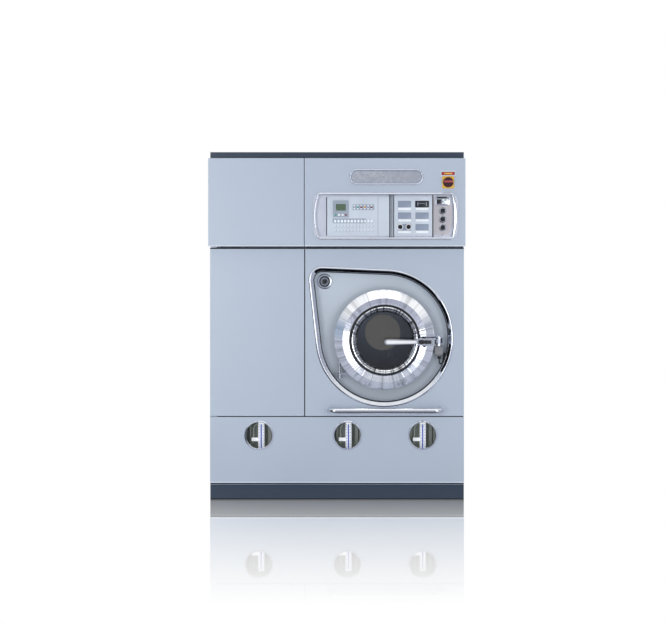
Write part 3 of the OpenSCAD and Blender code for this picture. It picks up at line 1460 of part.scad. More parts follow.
base_frame();
frame();
side_panels();
rear_panel();
roof_cap();
lower_panel();
porthole_rims();
front_panel();
recess_pan();
recess_trim();
front_bar();
dosing_port();
fascia_left();
fascia_right();
control_plate();
control_modules();
display_units();
fascia_plates();
hinge_brackets();
catch_bracket();
interlock_switch();
interlock_lead();
mouth_ring();
door_seal();
drum_shell();
bearing_housing();
solvent_tanks();
gauge_scales();
gauge_tubes();
drive_motor();
drive_belts();
button_trap();
filter_housing();
solvent_pump();
still();
recovery_unit();
fan_housing();
compressor();
electrical_box();
solvent_pipes();
service_door();
door_ring();
door_plate();
glass_clamp();
door_glass();
door_fittings();
door_lever();
cage_wrap();
cage_ends();
lifters();
drum_shaft();
drum_pulley();
motor_pulley();
fan_impeller();
main_switch_knob();
button_top();
button_middle();
button_bottom();
selector_left();
selector_right();
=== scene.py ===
"""A dry cleaning machine dressed for a studio picture, in the order in which it is put together.

Lengths in the sections are millimetres; MM turns them to metres. X runs right, Y to the back, Z up.
"""

import bpy
import numpy as np
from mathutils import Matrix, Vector


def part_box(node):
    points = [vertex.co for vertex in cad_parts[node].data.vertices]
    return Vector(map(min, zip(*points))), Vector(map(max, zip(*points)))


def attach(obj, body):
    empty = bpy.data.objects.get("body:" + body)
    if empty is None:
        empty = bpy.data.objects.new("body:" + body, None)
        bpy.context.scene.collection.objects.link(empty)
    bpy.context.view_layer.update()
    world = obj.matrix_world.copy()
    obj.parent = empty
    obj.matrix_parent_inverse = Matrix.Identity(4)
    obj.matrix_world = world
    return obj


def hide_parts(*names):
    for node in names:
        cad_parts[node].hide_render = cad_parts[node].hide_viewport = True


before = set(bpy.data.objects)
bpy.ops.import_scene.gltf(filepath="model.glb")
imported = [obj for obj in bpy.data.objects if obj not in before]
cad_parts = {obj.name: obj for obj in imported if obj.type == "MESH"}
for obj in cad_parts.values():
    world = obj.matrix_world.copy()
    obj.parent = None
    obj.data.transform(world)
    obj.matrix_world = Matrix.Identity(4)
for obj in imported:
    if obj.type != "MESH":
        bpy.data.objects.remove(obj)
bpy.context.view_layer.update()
MM = 0.001

# ---------------------------------------------------------------------------
# Studio. A white room: a pale sealed floor with a faint shine, two large soft
# lamps in front and one overhead, and a camera at head height. The camera looks
# straight at the machine and is shifted a little, as an architect's camera is.
# ---------------------------------------------------------------------------
FRONT = -600
VIEW_WIDTH = 3824
EYE = (150, 1400)
EYE_BACK = 5000
PICTURE_CENTRE = (-26, 1078)

camera_data = bpy.data.cameras.new("camera")
camera = bpy.data.objects.new("camera", camera_data)
bpy.context.scene.collection.objects.link(camera)
camera_data.lens = camera_data.sensor_width * EYE_BACK / VIEW_WIDTH
camera_data.shift_x = (PICTURE_CENTRE[0] - EYE[0]) / VIEW_WIDTH
camera_data.shift_y = (PICTURE_CENTRE[1] - EYE[1]) / VIEW_WIDTH
camera_data.clip_start, camera_data.clip_end = 0.1, 100
camera.location = (EYE[0] * MM, (FRONT - EYE_BACK) * MM, EYE[1] * MM)
camera.rotation_euler = (np.pi / 2, 0, 0)
bpy.context.scene.camera = camera
bpy.context.scene.view_settings.view_transform = "Standard"


def linear(colour):
    """An sRGB hex colour as linear red, green, blue and alpha: each channel c becomes
    c / 12.92 below 0.04045, and ((c + 0.055) / 1.055) to the power 2.4 above it."""
    c = np.array([int(colour[i:i + 2], 16) / 255 for i in (1, 3, 5)])
    c = np.where(c <= 0.04045, c / 12.92, ((c + 0.055) / 1.055) ** 2.4)
    return (*c, 1.0)


def add(tree, kind, values=(), joins=()):
    """Adds one node. values are pairs of a property or socket and what it holds, and
    joins are triples of a socket, the node that feeds it and that node's output."""
    new = tree.nodes.new(kind)
    for key, value in values:
        if isinstance(key, str) and hasattr(new, key):
            setattr(new, key, value)
        else:
            new.inputs[key].default_value = value
    for key, source, output in joins:
        tree.links.new(source.outputs[output], new.inputs[key])
    return new


def bare(name):
    """A material's empty node tree, and the material."""
    made = bpy.data.materials.new(name)
    made.use_nodes = True
    made.node_tree.nodes.clear()
    return made, made.node_tree


def from_arrays(name, points, faces, material, smooth=True):
    """A mesh object from points in millimetres and faces. A closed shell whose signed
    volume, the sum over its faces of corner . (corner x corner) / 6, is negative is turned."""
    points = np.asarray(points, float)
    faces = [list(face) for face in faces]
    fans = np.array([(f[0], f[i], f[i + 1]) for f in faces for i in range(1, len(f) - 1)])
    a, b, c = (points[fans[:, i]] - points.mean(axis=0) for i in range(3))
    if np.einsum("ij,ij->i", a, np.cross(b, c)).sum() < 0:
        faces = [face[::-1] for face in faces]
    mesh = bpy.data.meshes.new(name)
    mesh.from_pydata((points * MM).tolist(), [], faces)
    mesh.polygons.foreach_set("use_smooth", np.full(len(mesh.polygons), smooth))
    if smooth:
        mesh.set_sharp_from_angle(angle=np.radians(40))
    mesh.materials.append(material)
    made = bpy.data.objects.new(name, mesh)
    bpy.context.scene.collection.objects.link(made)
    return made


floor_paint, tree = bare("polished_white_floor")
# The floor mirrors what stands on it, less and less with distance in metres from the
# middle of its place. The rest is the lit white of the sweep, bright metal sees a greyer
# floor, and the light that the floor throws back is that of matt white paint.
place = add(tree, "ShaderNodeTexCoord")
parts = add(tree, "ShaderNodeSeparateXYZ", joins=[(0, place, "Object")])
off_y = add(tree, "ShaderNodeMath", [("operation", "ABSOLUTE")], [(0, parts, "Y")])
off_x = add(tree, "ShaderNodeMath", [("operation", "ABSOLUTE")], [(0, parts, "X")])
fade_y = add(tree, "ShaderNodeMapRange", [(1, 0.6), (2, 2.1), (3, 0.86), (4, 0.0)], [(0, off_y, 0)])
fade_x = add(tree, "ShaderNodeMapRange", [(1, 0.75), (2, 1.25), (3, 1.0), (4, 0.0)], [(0, off_x, 0)])
seen = add(tree, "ShaderNodeLightPath")
fade = add(tree, "ShaderNodeMath", [("operation", "MULTIPLY")], [(0, fade_y, 0), (1, fade_x, 0)])
fade = add(tree, "ShaderNodeMath", [("operation", "MULTIPLY")], [(0, fade, 0), (1, seen, "Is Camera Ray")])
white = add(tree, "ShaderNodeEmission", [("Color", (1, 1, 1, 1)), ("Strength", 1.0)])
grey = add(tree, "ShaderNodeEmission", [("Color", linear("#b9bdcc")), ("Strength", 1.0)])
matt = add(tree, "ShaderNodeBsdfDiffuse", [("Color", (0.9, 0.9, 0.9, 1))])
shine = add(tree, "ShaderNodeBsdfGlossy", [("Color", (1, 1, 1, 1)), ("Roughness", 0.04)])
base = add(tree, "ShaderNodeMixShader", joins=[(0, seen, "Is Glossy Ray"), (1, white, 0), (2, grey, 0)])
lit = add(tree, "ShaderNodeMixShader", joins=[(0, fade, 0), (1, base, 0), (2, shine, 0)])
both = add(tree, "ShaderNodeMixShader", joins=[(0, seen, "Is Diffuse Ray"), (1, lit, 0), (2, matt, 0)])
add(tree, "ShaderNodeOutputMaterial", joins=[(0, both, 0)])

REACH = 30000
FLOOR_Z = -0.5
corners = [(x * REACH, y * REACH, FLOOR_Z) for x, y in ((-1, -1), (1, -1), (1, 1), (-1, 1))]
floor = from_arrays("floor", corners, [(0, 1, 2, 3)], floor_paint, smooth=False)

world = bpy.data.worlds.new("white_room")
bpy.context.scene.world = world
world.use_nodes = True
tree = world.node_tree
tree.nodes.clear()
# Bright metal sees a white ceiling and back wall, and walls at the sides and in front
# that are grey-blue at the left and paler at the right
seen = add(tree, "ShaderNodeLightPath")
way = add(tree, "ShaderNodeTexCoord")
parts = add(tree, "ShaderNodeSeparateXYZ", joins=[(0, way, "Generated")])
high = add(tree, "ShaderNodeMapRange", [("interpolation_type", "SMOOTHSTEP"), (1, 0.2), (2, 0.6)],
           [(0, parts, "Z")])
behind = add(tree, "ShaderNodeMapRange", [("interpolation_type", "SMOOTHSTEP"), (1, 0.4), (2, 0.8)],
             [(0, parts, "Y")])
open_side = add(tree, "ShaderNodeMath", [("operation", "MAXIMUM")], [(0, high, 0), (1, behind, 0)])
across = add(tree, "ShaderNodeMapRange", [(1, -0.8), (2, 0.2)], [(0, parts, "X")])
walls = add(tree, "ShaderNodeMix", [("data_type", "RGBA"), (6, linear("#a6b4c8")), (7, linear("#b2b6c4"))],
            [(0, across, 0)])
room = add(tree, "ShaderNodeMix", [("data_type", "RGBA"), (7, (1, 1, 1, 1))],
           [(0, open_side, 0), (6, walls, 2)])
soft = add(tree, "ShaderNodeBackground", [("Color", linear("#eef2f8")), ("Strength", 0.6)])
clear = add(tree, "ShaderNodeBackground", [("Color", (1, 1, 1, 1)), ("Strength", 1.0)])
shown = add(tree, "ShaderNodeBackground", joins=[(0, room, 2)])
mirrored = add(tree, "ShaderNodeMixShader", joins=[(0, seen, "Is Glossy Ray"), (1, clear, 0), (2, shown, 0)])
both = add(tree, "ShaderNodeMixShader", joins=[(0, seen, "Is Diffuse Ray"), (1, mirrored, 0), (2, soft, 0)])
add(tree, "ShaderNodeOutputWorld", joins=[(0, both, 0)])


def soft_lamp(name, position, target, size, power):
    """A rectangular area lamp of a power in watts, turned so that it faces its target."""
    data = bpy.data.lights.new(name, "AREA")
    data.shape = "RECTANGLE"
    data.size, data.size_y = size[0] * MM, size[1] * MM
    data.energy = power
    lamp = bpy.data.objects.new(name, data)
    bpy.context.scene.collection.objects.link(lamp)
    lamp.location = Vector(position) * MM
    lamp.rotation_euler = (Vector(target) - Vector(position)).to_track_quat("-Z", "Y").to_euler()


soft_lamp("lamp_left", (-2400, -4800, 1300), (0, 0, 950), (2200, 2400), 54)
soft_lamp("lamp_right", (2800, -4600, 1200), (0, 0, 950), (2000, 2200), 39)
soft_lamp("lamp_top", (300, -1500, 4600), (200, -300, 1000), (3000, 2000), 14)

# Black cards, one upright at the left and two on the floor in front. Only bright metal
# sees them, and only from their front sides: they give the chrome its dark streaks
card_black, tree = bare("black_studio_card")
face = add(tree, "ShaderNodeNewGeometry")
black = add(tree, "ShaderNodeBsdfDiffuse", [("Color", linear("#0b0d10"))])
through_card = add(tree, "ShaderNodeBsdfTransparent")
shader = add(tree, "ShaderNodeMixShader",
             joins=[(0, face, "Backfacing"), (1, black, 0), (2, through_card, 0)])
add(tree, "ShaderNodeOutputMaterial", joins=[(0, shader, 0)])
for name, corners in (
        ("card_upright", [(-3200, -4400, 0), (-3200, -1300, 0), (-3200, -1300, 2600), (-3200, -4400, 2600)]),
        ("card_low_left", [(-3200, -2700, 6), (-700, -2700, 6), (-700, -850, 6), (-3200, -850, 6)]),
        ("card_low_front", [(-700, -1750, 6), (1000, -1750, 6), (1000, -850, 6), (-700, -850, 6)])):
    card = from_arrays(name, corners, [(0, 1, 2, 3)], card_black, smooth=False)
    card.visible_camera = card.visible_diffuse = card.visible_shadow = False
    card.visible_transmission = False

# ---------------------------------------------------------------------------
# Plinth and spill tray. Folded boards welded into a ring, sprayed dark slate,
# with a plain sheet tray on top that catches a leak from the tanks.
# ---------------------------------------------------------------------------


def coat_of_paint(name, colour, rough=0.38, peel=0.5, ripple=0.5, mottle=0.02, painted_shade=0.0):
    """Sprayed enamel on sheet steel. Fine orange peel and the slow ripple of thin sheet
    bend its reflections, and the colour drifts by a few hundredths from place to place.
    Painted shade darkens it lower down, from nothing at 1.3 m up to the full given share at
    0.55 m."""
    made, tree = bare(name)
    place = add(tree, "ShaderNodeTexCoord")
    # Noise scales count waves in a metre. Orange peel is about 2 mm on the real sheet; it
    # is drawn at 7 mm to show
    fine = add(tree, "ShaderNodeTexNoise", [("Scale", 150.0), ("Detail", 3.0)], [("Vector", place, "Object")])
    slow = add(tree, "ShaderNodeTexNoise", [("Scale", 2.2), ("Detail", 1.5)], [("Vector", place, "Object")])
    cloud = add(tree, "ShaderNodeTexNoise", [("Scale", 1.4), ("Detail", 4.0)], [("Vector", place, "Object")])
    tone = add(tree, "ShaderNodeMapRange", [(1, 0.3), (2, 0.7), (3, 1 - mottle), (4, 1 + mottle)],
               [(0, cloud, 0)])
    parts = add(tree, "ShaderNodeSeparateXYZ", joins=[(0, place, "Object")])
    unshaded_share = add(tree, "ShaderNodeMapRange", [(1, 0.55), (2, 1.3), (3, 1 - painted_shade), (4, 1.0)], [(0, parts, "Z")])
    tone = add(tree, "ShaderNodeMath", [("operation", "MULTIPLY")], [(0, tone, 0), (1, unshaded_share, 0)])
    tint = add(tree, "ShaderNodeVectorMath", [("operation", "SCALE"), (0, linear(colour)[:3])],
               [(3, tone, 0)])
    gloss = add(tree, "ShaderNodeMapRange", [(1, 0.3), (2, 0.7), (3, rough - 0.04), (4, rough + 0.05)],
                [(0, cloud, 0)])
    waves = add(tree, "ShaderNodeBump", [("Strength", ripple), ("Distance", 0.004)], [("Height", slow, 0)])
    grain = add(tree, "ShaderNodeBump", [("Strength", peel * 0.12), ("Distance", 0.0006)],
                [("Height", fine, 0), ("Normal", waves, 0)])
    shader = add(tree, "ShaderNodeBsdfPrincipled",
                 [("IOR", 1.5), ("Coat Weight", 0.15), ("Coat Roughness", 0.18)],
                 [("Base Color", tint, 0), ("Roughness", gloss, 0), ("Normal", grain, 0)])
    add(tree, "ShaderNodeOutputMaterial", joins=[(0, shader, 0)])
    return made


def dress(material, *names):
    """Gives CAD nodes a material in all their slots."""
    for name in names:
        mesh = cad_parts[name].data
        mesh.materials.clear()
        mesh.materials.append(material)


# Half-gloss enamel: soft highlights, and a mirror line only at a low angle
dark_slate = coat_of_paint("sprayed_dark_slate_enamel", "#2b3a4c", rough=0.42)
dress(dark_slate, "base_frame", "roof_cap")

# ---------------------------------------------------------------------------
# Frame. Square steel tube and folded angle, welded into one and sprayed mid grey.
# It stands on the plinth and carries two sheet decks.
# ---------------------------------------------------------------------------
# Primer without a top coat: nearly matt, duller than the panels
mid_grey = coat_of_paint("sprayed_mid_grey_primer", "#6d747d", rough=0.5)
dress(mid_grey, "frame")

# ---------------------------------------------------------------------------
# Drum shell and bearing housing. The shell is rolled stainless sheet with pressed
# ends; the housing is an iron casting, sprayed grey, bolted to its back.
# ---------------------------------------------------------------------------


def metal(name, colour, rough, spread=0.05, lines=(1, 1, 1), coarse=60.0, depth=0.15, aniso=0.0):
    """Bare metal with a directional finish: noise stretched along the short entries of
    lines gives the scratches, which move the roughness and the bump a little."""
    made, tree = bare(name)
    place = add(tree, "ShaderNodeTexCoord")
    # Real scratches are finer than 0.1 mm; they are drawn half a millimetre wide and more
    along = add(tree, "ShaderNodeMapping", [("Scale", lines)], [("Vector", place, "Object")])
    hair = add(tree, "ShaderNodeTexNoise", [("Scale", coarse), ("Detail", 5.0), ("Roughness", 0.65)],
               [("Vector", along, 0)])
    smear = add(tree, "ShaderNodeTexNoise", [("Scale", 7.0), ("Detail", 3.0)], [("Vector", place, "Object")])
    mixed = add(tree, "ShaderNodeMath", [("operation", "ADD")], [(0, hair, 0), (1, smear, 0)])
    gloss = add(tree, "ShaderNodeMapRange", [(1, 0.6), (2, 1.4), (3, max(rough - spread, 0.02)),
                                             (4, rough + spread)], [(0, mixed, 0)])
    tone = add(tree, "ShaderNodeMapRange", [(1, 0.3), (2, 0.7), (3, 0.94), (4, 1.04)], [(0, hair, 0)])
    tint = add(tree, "ShaderNodeVectorMath", [("operation", "SCALE"), (0, linear(colour)[:3])],
               [(3, tone, 0)])
    cut = add(tree, "ShaderNodeBump", [("Strength", depth), ("Distance", 0.0005)], [("Height", hair, 0)])
    shader = add(tree, "ShaderNodeBsdfPrincipled", [("Metallic", 1.0), ("Anisotropic", aniso)],
                 [("Base Color", tint, 0), ("Roughness", gloss, 0), ("Normal", cut, 0)])
    add(tree, "ShaderNodeOutputMaterial", joins=[(0, shader, 0)])
    return made


# Cold-rolled sheet: a milky sheen, drawn out along the rolling
satin_sheet = metal("satin_stainless_sheet", "#b4b9c0", 0.34, lines=(1, 6, 1), coarse=40.0)
dress(satin_sheet, "drum_shell", "mouth_ring", "still", "filter_housing", "button_trap", "solvent_pipes")
# Enamel over a sand casting: a coarse skin under a dull coat
cast_grey = coat_of_paint("sprayed_grey_casting", "#7b828b", rough=0.55, peel=2.0)
dress(cast_grey, "bearing_housing")

# ---------------------------------------------------------------------------
# Cage. Stainless sheet pierced in rows and rolled, with pressed ends and three
# lifters, on a turned shaft that an iron pulley and three belts drive. A moulded
# cover hides the shaft's bolts inside the cage.
# ---------------------------------------------------------------------------
# Rubbed by the load for years: even fine scratches and soft reflections
cage_steel = metal("tumbled_stainless_cage", "#b9bec5", 0.3, lines=(1, 1, 1), coarse=90.0)
dress(cage_steel, "cage_wrap", "cage_ends", "lifters")
# Turned steel: fine rings round the axis, and a narrow bright line along it
machined = metal("machined_steel", "#9aa0a8", 0.25, lines=(1, 30, 1), coarse=60.0)
dress(machined, "drum_shaft")
# Blackened iron castings: dark, coarse and nearly matt
iron = coat_of_paint("blackened_iron", "#4c5259", rough=0.5, peel=1.5)
dress(iron, "drum_pulley", "motor_pulley")


def moulded(name, colour, rough=0.45, grain=400.0, depth=0.1, painted_glow=0.0):
    """Moulded plastic or rubber: a fine even grain in the bump and a slight drift in the
    gloss. A share of its own colour is added as painted glow, light that no lamp throws."""
    made, tree = bare(name)
    place = add(tree, "ShaderNodeTexCoord")
    # The grain of a mould is about 0.1 mm; it is drawn at 2.5 mm to show
    fine = add(tree, "ShaderNodeTexNoise", [("Scale", grain), ("Detail", 2.0)], [("Vector", place, "Object")])
    cloud = add(tree, "ShaderNodeTexNoise", [("Scale", 12.0), ("Detail", 3.0)], [("Vector", place, "Object")])
    gloss = add(tree, "ShaderNodeMapRange", [(1, 0.3), (2, 0.7), (3, rough - 0.05), (4, rough + 0.06)],
                [(0, cloud, 0)])
    tone = add(tree, "ShaderNodeMapRange", [(1, 0.3), (2, 0.7), (3, 0.96), (4, 1.04)], [(0, cloud, 0)])
    tint = add(tree, "ShaderNodeVectorMath", [("operation", "SCALE"), (0, linear(colour)[:3])],
               [(3, tone, 0)])
    skin = add(tree, "ShaderNodeBump", [("Strength", depth), ("Distance", 0.0004)], [("Height", fine, 0)])
    shader = add(tree, "ShaderNodeBsdfPrincipled",
                 [("IOR", 1.5), ("Emission Color", linear(colour)), ("Emission Strength", painted_glow)],
                 [("Base Color", tint, 0), ("Roughness", gloss, 0), ("Normal", skin, 0)])
    add(tree, "ShaderNodeOutputMaterial", joins=[(0, shader, 0)])
    return made


# Rubber: matt, with a fine skin. The motor's coat: half gloss on a casting
belt_rubber = moulded("v_belt_rubber", "#1b1d20", 0.7)
dress(belt_rubber, "drive_belts")
motor_grey = coat_of_paint("sprayed_motor_grey", "#55606b", rough=0.45)
dress(motor_grey, "drive_motor")


def cells(rows, columns, closed):
    """The quads of a grid of points. Each joins a point to the next in its row and in its
    column, and a closed direction joins its last point to its first."""
    i, j = np.meshgrid(np.arange(rows - (not closed[0])), np.arange(columns - (not closed[1])),
                       indexing="ij")
    i2, j2 = (i + 1) % rows, (j + 1) % columns
    return np.stack([i * columns + j, i * columns + j2, i2 * columns + j2, i2 * columns + j],
                    axis=-1).reshape(-1, 4)


def plates(name, places, back, front, corner, soften, material, waist=None):
    """Thin plates, caps or domes in one mesh. places holds the middle across, the middle's
    height, the width and the height of each. An outline is four arcs joined by straight
    lines. It runs through four depths from back to front, and is set in by a share of
    soften at the last two, so its rim is rounded. waist gives other pairs of how far the
    outline is set in and its depth."""
    places = np.atleast_2d(np.asarray(places, float))
    steps = 6
    quarter = np.linspace(0, np.pi / 2, steps, endpoint=False)
    angle = np.concatenate([quarter + k * np.pi / 2 for k in range(4)])
    away = np.repeat([[1, 1], [-1, 1], [-1, -1], [1, -1]], steps, axis=0)
    rim = np.sign(front - back) * soften
    levels = np.array([(0, back), (0, front - rim), (0.3 * soften, front - 0.3 * rim), (soften, front)])
    if waist is not None:
        levels = np.array(waist, float)
    half = places[:, None, 2:] / 2 - levels[None, :, :1]
    bend = np.minimum(np.maximum(corner - levels[:, 0], 0.02)[None, :], half.min(axis=2))[..., None, None]
    flat = (half[:, :, None, :] - bend) * away + bend * np.stack([np.cos(angle), np.sin(angle)], axis=-1)
    flat = flat + places[:, None, None, :2]
    depth = np.broadcast_to(levels[None, :, None, 1], flat.shape[:3])
    points = np.stack([flat[..., 0], depth, flat[..., 1]], axis=-1)
    count, rows, columns = points.shape[:3]
    shift = np.arange(count)[:, None, None] * rows * columns
    sides = cells(rows, columns, closed=(False, True)) + shift
    caps = np.stack([np.arange(columns)[::-1], np.arange(columns) + (rows - 1) * columns]) + shift
    faces = sides.reshape(-1, 4).tolist() + caps.reshape(-1, columns).tolist()
    return from_arrays(name, points.reshape(-1, 3), faces, material)


# Pale moulded plastic with a painted glow, which lifts it in the dark cage. The cage,
# the door and its glass share one centre line
DOOR = (273, 923)
HUB_WIDTH, HUB_BACK, HUB_FRONT = 222, -97.5, -152
hub_cover = moulded("warm_grey_hub_cover", "#c9c1b2", 0.4, painted_glow=0.24)
hub = plates("cage_hub_plate", [(*DOOR, HUB_WIDTH, HUB_WIDTH)], HUB_BACK, HUB_FRONT, HUB_WIDTH / 2, 4,
             hub_cover)
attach(hub, "drum")

# ---------------------------------------------------------------------------
# Solvent and air circuits. Tanks, pump and compressor are sprayed; ducts and
# fan are plain galvanised sheet; the electrical box is sprayed light grey.
# ---------------------------------------------------------------------------
# Enamels of bought-in parts, from dull on the tanks to glossy on the compressor, and
# zinc-coated sheet: a dull shine with slow clouds
tank_green = coat_of_paint("sprayed_grey_green_tank", "#a3aba3", rough=0.5)
dress(tank_green, "solvent_tanks")
pump_blue = coat_of_paint("sprayed_pump_blue", "#5a7089", rough=0.4)
dress(pump_blue, "solvent_pump")
galvanised = metal("galvanised_sheet", "#a3abb5", 0.42, coarse=25.0, spread=0.1)
dress(galvanised, "recovery_unit", "fan_housing", "fan_impeller")
box_grey = coat_of_paint("sprayed_light_grey", "#a9b0b8", rough=0.45)
dress(box_grey, "electrical_box")
black_enamel = coat_of_paint("black_enamel", "#23272c", rough=0.3)
dress(black_enamel, "compressor")

# ---------------------------------------------------------------------------
# Outer panels. Folded sheet steel, sprayed pale blue-grey after folding and
# hooked on the frame, with no visible screws at the front.
# ---------------------------------------------------------------------------
# Half-gloss enamel with fine orange peel: the lamps show as broad pale bands
pale_blue = coat_of_paint("sprayed_pale_blue_grey_enamel", "#b4bfce", rough=0.36)
dress(pale_blue, "side_panels", "rear_panel", "lower_panel", "front_panel", "fascia_left",
      "fascia_right", "service_door")


def gap_between(first, second, axis, inset):
    """Where the gap between two neighbouring CAD nodes starts and ends along an axis, in
    millimetres, less an inset at both sides."""
    low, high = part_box(first)[1][axis] / MM + inset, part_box(second)[0][axis] / MM - inset
    return low, high


# Black matt strips stand behind the seams as painted shade, so the seams read as thin
# dark lines: one upright beside the service door, and one along the top of the lower
# panel
shade_black = moulded("painted_shade_black_strip", "#10151c", 0.8)
upright = gap_between("service_door", "front_panel", 0, 0.8)
level = gap_between("lower_panel", "front_panel", 2, 0.8)
left_edge, right_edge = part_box("lower_panel")[0][0] / MM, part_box("lower_panel")[1][0] / MM
UPRIGHT_MIDDLE, UPRIGHT_TALL = 966, 950
seam_painted_shade = plates("seam_painted_shade", [
    (np.mean(upright), UPRIGHT_MIDDLE, np.ptp(upright), UPRIGHT_TALL),
    ((left_edge + right_edge) / 2, np.mean(level), right_edge - left_edge - 8, np.ptp(level))],
    FRONT + 20, FRONT + 5, 0.5, 0.3, shade_black)
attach(seam_painted_shade, "cabinet")

# Black strips under the fascia, one on the door and one on the panel, and one under the
# lower panel are painted shade, and one at the plinth's foot is a painted contact shadow;
# the pale strips on the edges beside them are painted highlights. Each row gives a body,
# the places, the face that it lies on and a material
painted_highlight = coat_of_paint("painted_highlight_pale", "#dfe7f2", rough=0.25)
painted_highlight_slate = coat_of_paint("painted_highlight_slate_enamel", "#7f8d9b", rough=0.3)
FASCIA = -640
PLINTH = -592
SHADE_STRIP_Z, FASCIA_HIGHLIGHT_Z = 1447.5, 1460.5
width = right_edge - left_edge
painted_light_strips = {
    "door_painted_shade": ("service_door", [(-459.5, SHADE_STRIP_Z, 539, 8)], FRONT, shade_black),
    "panel_painted_shade": ("cabinet", [(273.5, SHADE_STRIP_Z, 911, 8)], FRONT, shade_black),
    "fascia_painted_highlight": ("cabinet", [(-461, FASCIA_HIGHLIGHT_Z, 545, 4), (275, FASCIA_HIGHLIGHT_Z, 917, 4)], FASCIA, painted_highlight),
    "lower_panel_painted_highlight": ("cabinet", [(0, 101.5, width, 5)], FRONT, painted_highlight),
    "plinth_painted_shade": ("cabinet", [(0, 95, width, 7)], PLINTH, shade_black),
    "plinth_painted_highlight": ("cabinet", [(0, 88.6, width, 3.2)], PLINTH, painted_highlight_slate),
    "plinth_painted_contact_shadow": ("cabinet", [(0, 3.5, width, 6)], PLINTH, shade_black),
}
for name, (body, places, face_y, material) in painted_light_strips.items():
    piece = plates(name, places, face_y, face_y - 1.2, 0.6, 0.3, material)
    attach(piece, body)

# ---------------------------------------------------------------------------
# Back fixings. Domed zinc-plated screws hold the rear panel all round, through the
# folds along its edges.
# ---------------------------------------------------------------------------
# Zinc plate: a soft silver shine
zinc = metal("zinc_plated_screws", "#b9bec6", 0.24, coarse=90.0)
BACK = 600
HEAD, DOME, FROM_EDGE = 15, 3.2, 30
(low_x, _, low_z), (high_x, _, high_z) = (np.array(c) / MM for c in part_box("rear_panel"))
across = np.linspace(low_x + FROM_EDGE, high_x - FROM_EDGE, 6)
up = np.linspace(low_z + FROM_EDGE, high_z - FROM_EDGE, 7)
heads = [(x, z, HEAD, HEAD) for x in across for z in (up[0], up[-1])]
heads += [(x, z, HEAD, HEAD) for x in (across[0], across[-1]) for z in up[1:-1]]
dome = [(0, BACK - 0.5), (0, BACK + 0.6), (1.2, BACK + 0.6 * DOME), (3.4, BACK + 0.9 * DOME),
        (5.6, BACK + DOME)]
rear_screws = plates("rear_screws", heads, BACK - 0.5, BACK + DOME, HEAD / 2, 1, zinc, waist=dome)
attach(rear_screws, "cabinet")

# ---------------------------------------------------------------------------
# Portholes. Pressed bright rims on the lower panel; behind them hang white
# acrylic scales with blue marks beside a sight tube, in front of the tanks.
# ---------------------------------------------------------------------------
PORTS = (-449, 60, 493)
PORT_Z = 371
MARK_OFF, MARK_STEP, LOWEST_MARK = 11.5, 9, 96
# Acrylic with a painted glow: brighter than paint would be in the dark openings
scale_white = moulded("white_scale_acrylic", "#f2f5f8", 0.3, painted_glow=0.45)
dress(scale_white, "gauge_scales")
blue_tube = moulded("blue_sight_tube", "#5f70b0", 0.12, painted_glow=0.2)
dress(blue_tube, "gauge_tubes")
scale_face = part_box("gauge_scales")[0][1] / MM
# A sight tube hangs 5 mm right of each porthole's middle, with 17 marks on either side
marks = [(x + 5 + side * MARK_OFF, PORT_Z - LOWEST_MARK + MARK_STEP * k, 6.5, 3.4)
         for x in PORTS for side in (-1, 1) for k in range(17)]
scale_marks = plates("scale_marks", marks, scale_face + 0.3, scale_face - 0.4, 0.4, 0.1, blue_tube)
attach(scale_marks, "cabinet")

# ---------------------------------------------------------------------------
# Recess. A pan of sprayed sheet behind the front panel, and a bright pressed
# trim round its teardrop edge.
# ---------------------------------------------------------------------------
# Enamel paler than the panels, as painted light against the recess's shade, and darker
# towards its foot as painted shade
pan_blue = coat_of_paint("sprayed_recess_blue_grey", "#c6d0dc", rough=0.4, painted_shade=0.27)
dress(pan_blue, "recess_pan")
# Bright plate: nearly a mirror, with hardly a scratch
chrome = metal("bright_chrome_plate", "#dfe3ea", 0.07, spread=0.03, coarse=30.0, depth=0.03)
dress(chrome, "recess_trim", "porthole_rims", "catch_bracket")

# The two circles of the teardrop: centre across, centre's height and radius
BIG = (273, 930, 397)
SMALL = (-86, 1265, 78)


def teardrop_stations(count):
    """Points round the teardrop and the outward direction at each: two arcs joined by
    their common tangents. A tangent leaves both circles at the angle whose cosine is
    the difference of the radii over the distance, either side of the line of centres."""
    run = np.array([SMALL[0] - BIG[0], SMALL[1] - BIG[1]], float)
    length = np.hypot(*run)
    lean = np.arctan2(run[1], run[0])
    half = np.arccos((BIG[2] - SMALL[2]) / length)
    side = np.sqrt(length ** 2 - (BIG[2] - SMALL[2]) ** 2)
    arcs = np.array([BIG[2] * (2 * np.pi - 2 * half), side, SMALL[2] * 2 * half, side])
    marks = np.concatenate([[0], np.cumsum(arcs)])
    s = np.arange(count) / count * marks[-1]
    leg = np.searchsorted(marks, s, side="right") - 1
    t = (s - marks[leg]) / arcs[leg]
    angle = np.select([leg == 0, leg == 1, leg == 2, leg == 3],
                      [lean + half + t * (2 * np.pi - 2 * half), lean - half + 0 * t,
                       lean - half + t * 2 * half, lean + half + 0 * t])
    out = np.stack([np.cos(angle), np.sin(angle)], axis=-1)
    share = np.select([leg == 0, leg == 1, leg == 2, leg == 3], [0 * t, t, 1 + 0 * t, 1 - t])
    centre = np.array(BIG[:2]) * (1 - share)[:, None] + np.array(SMALL[:2]) * share[:, None]
    radius = BIG[2] * (1 - share) + SMALL[2] * share
    return centre + out * radius[:, None], out


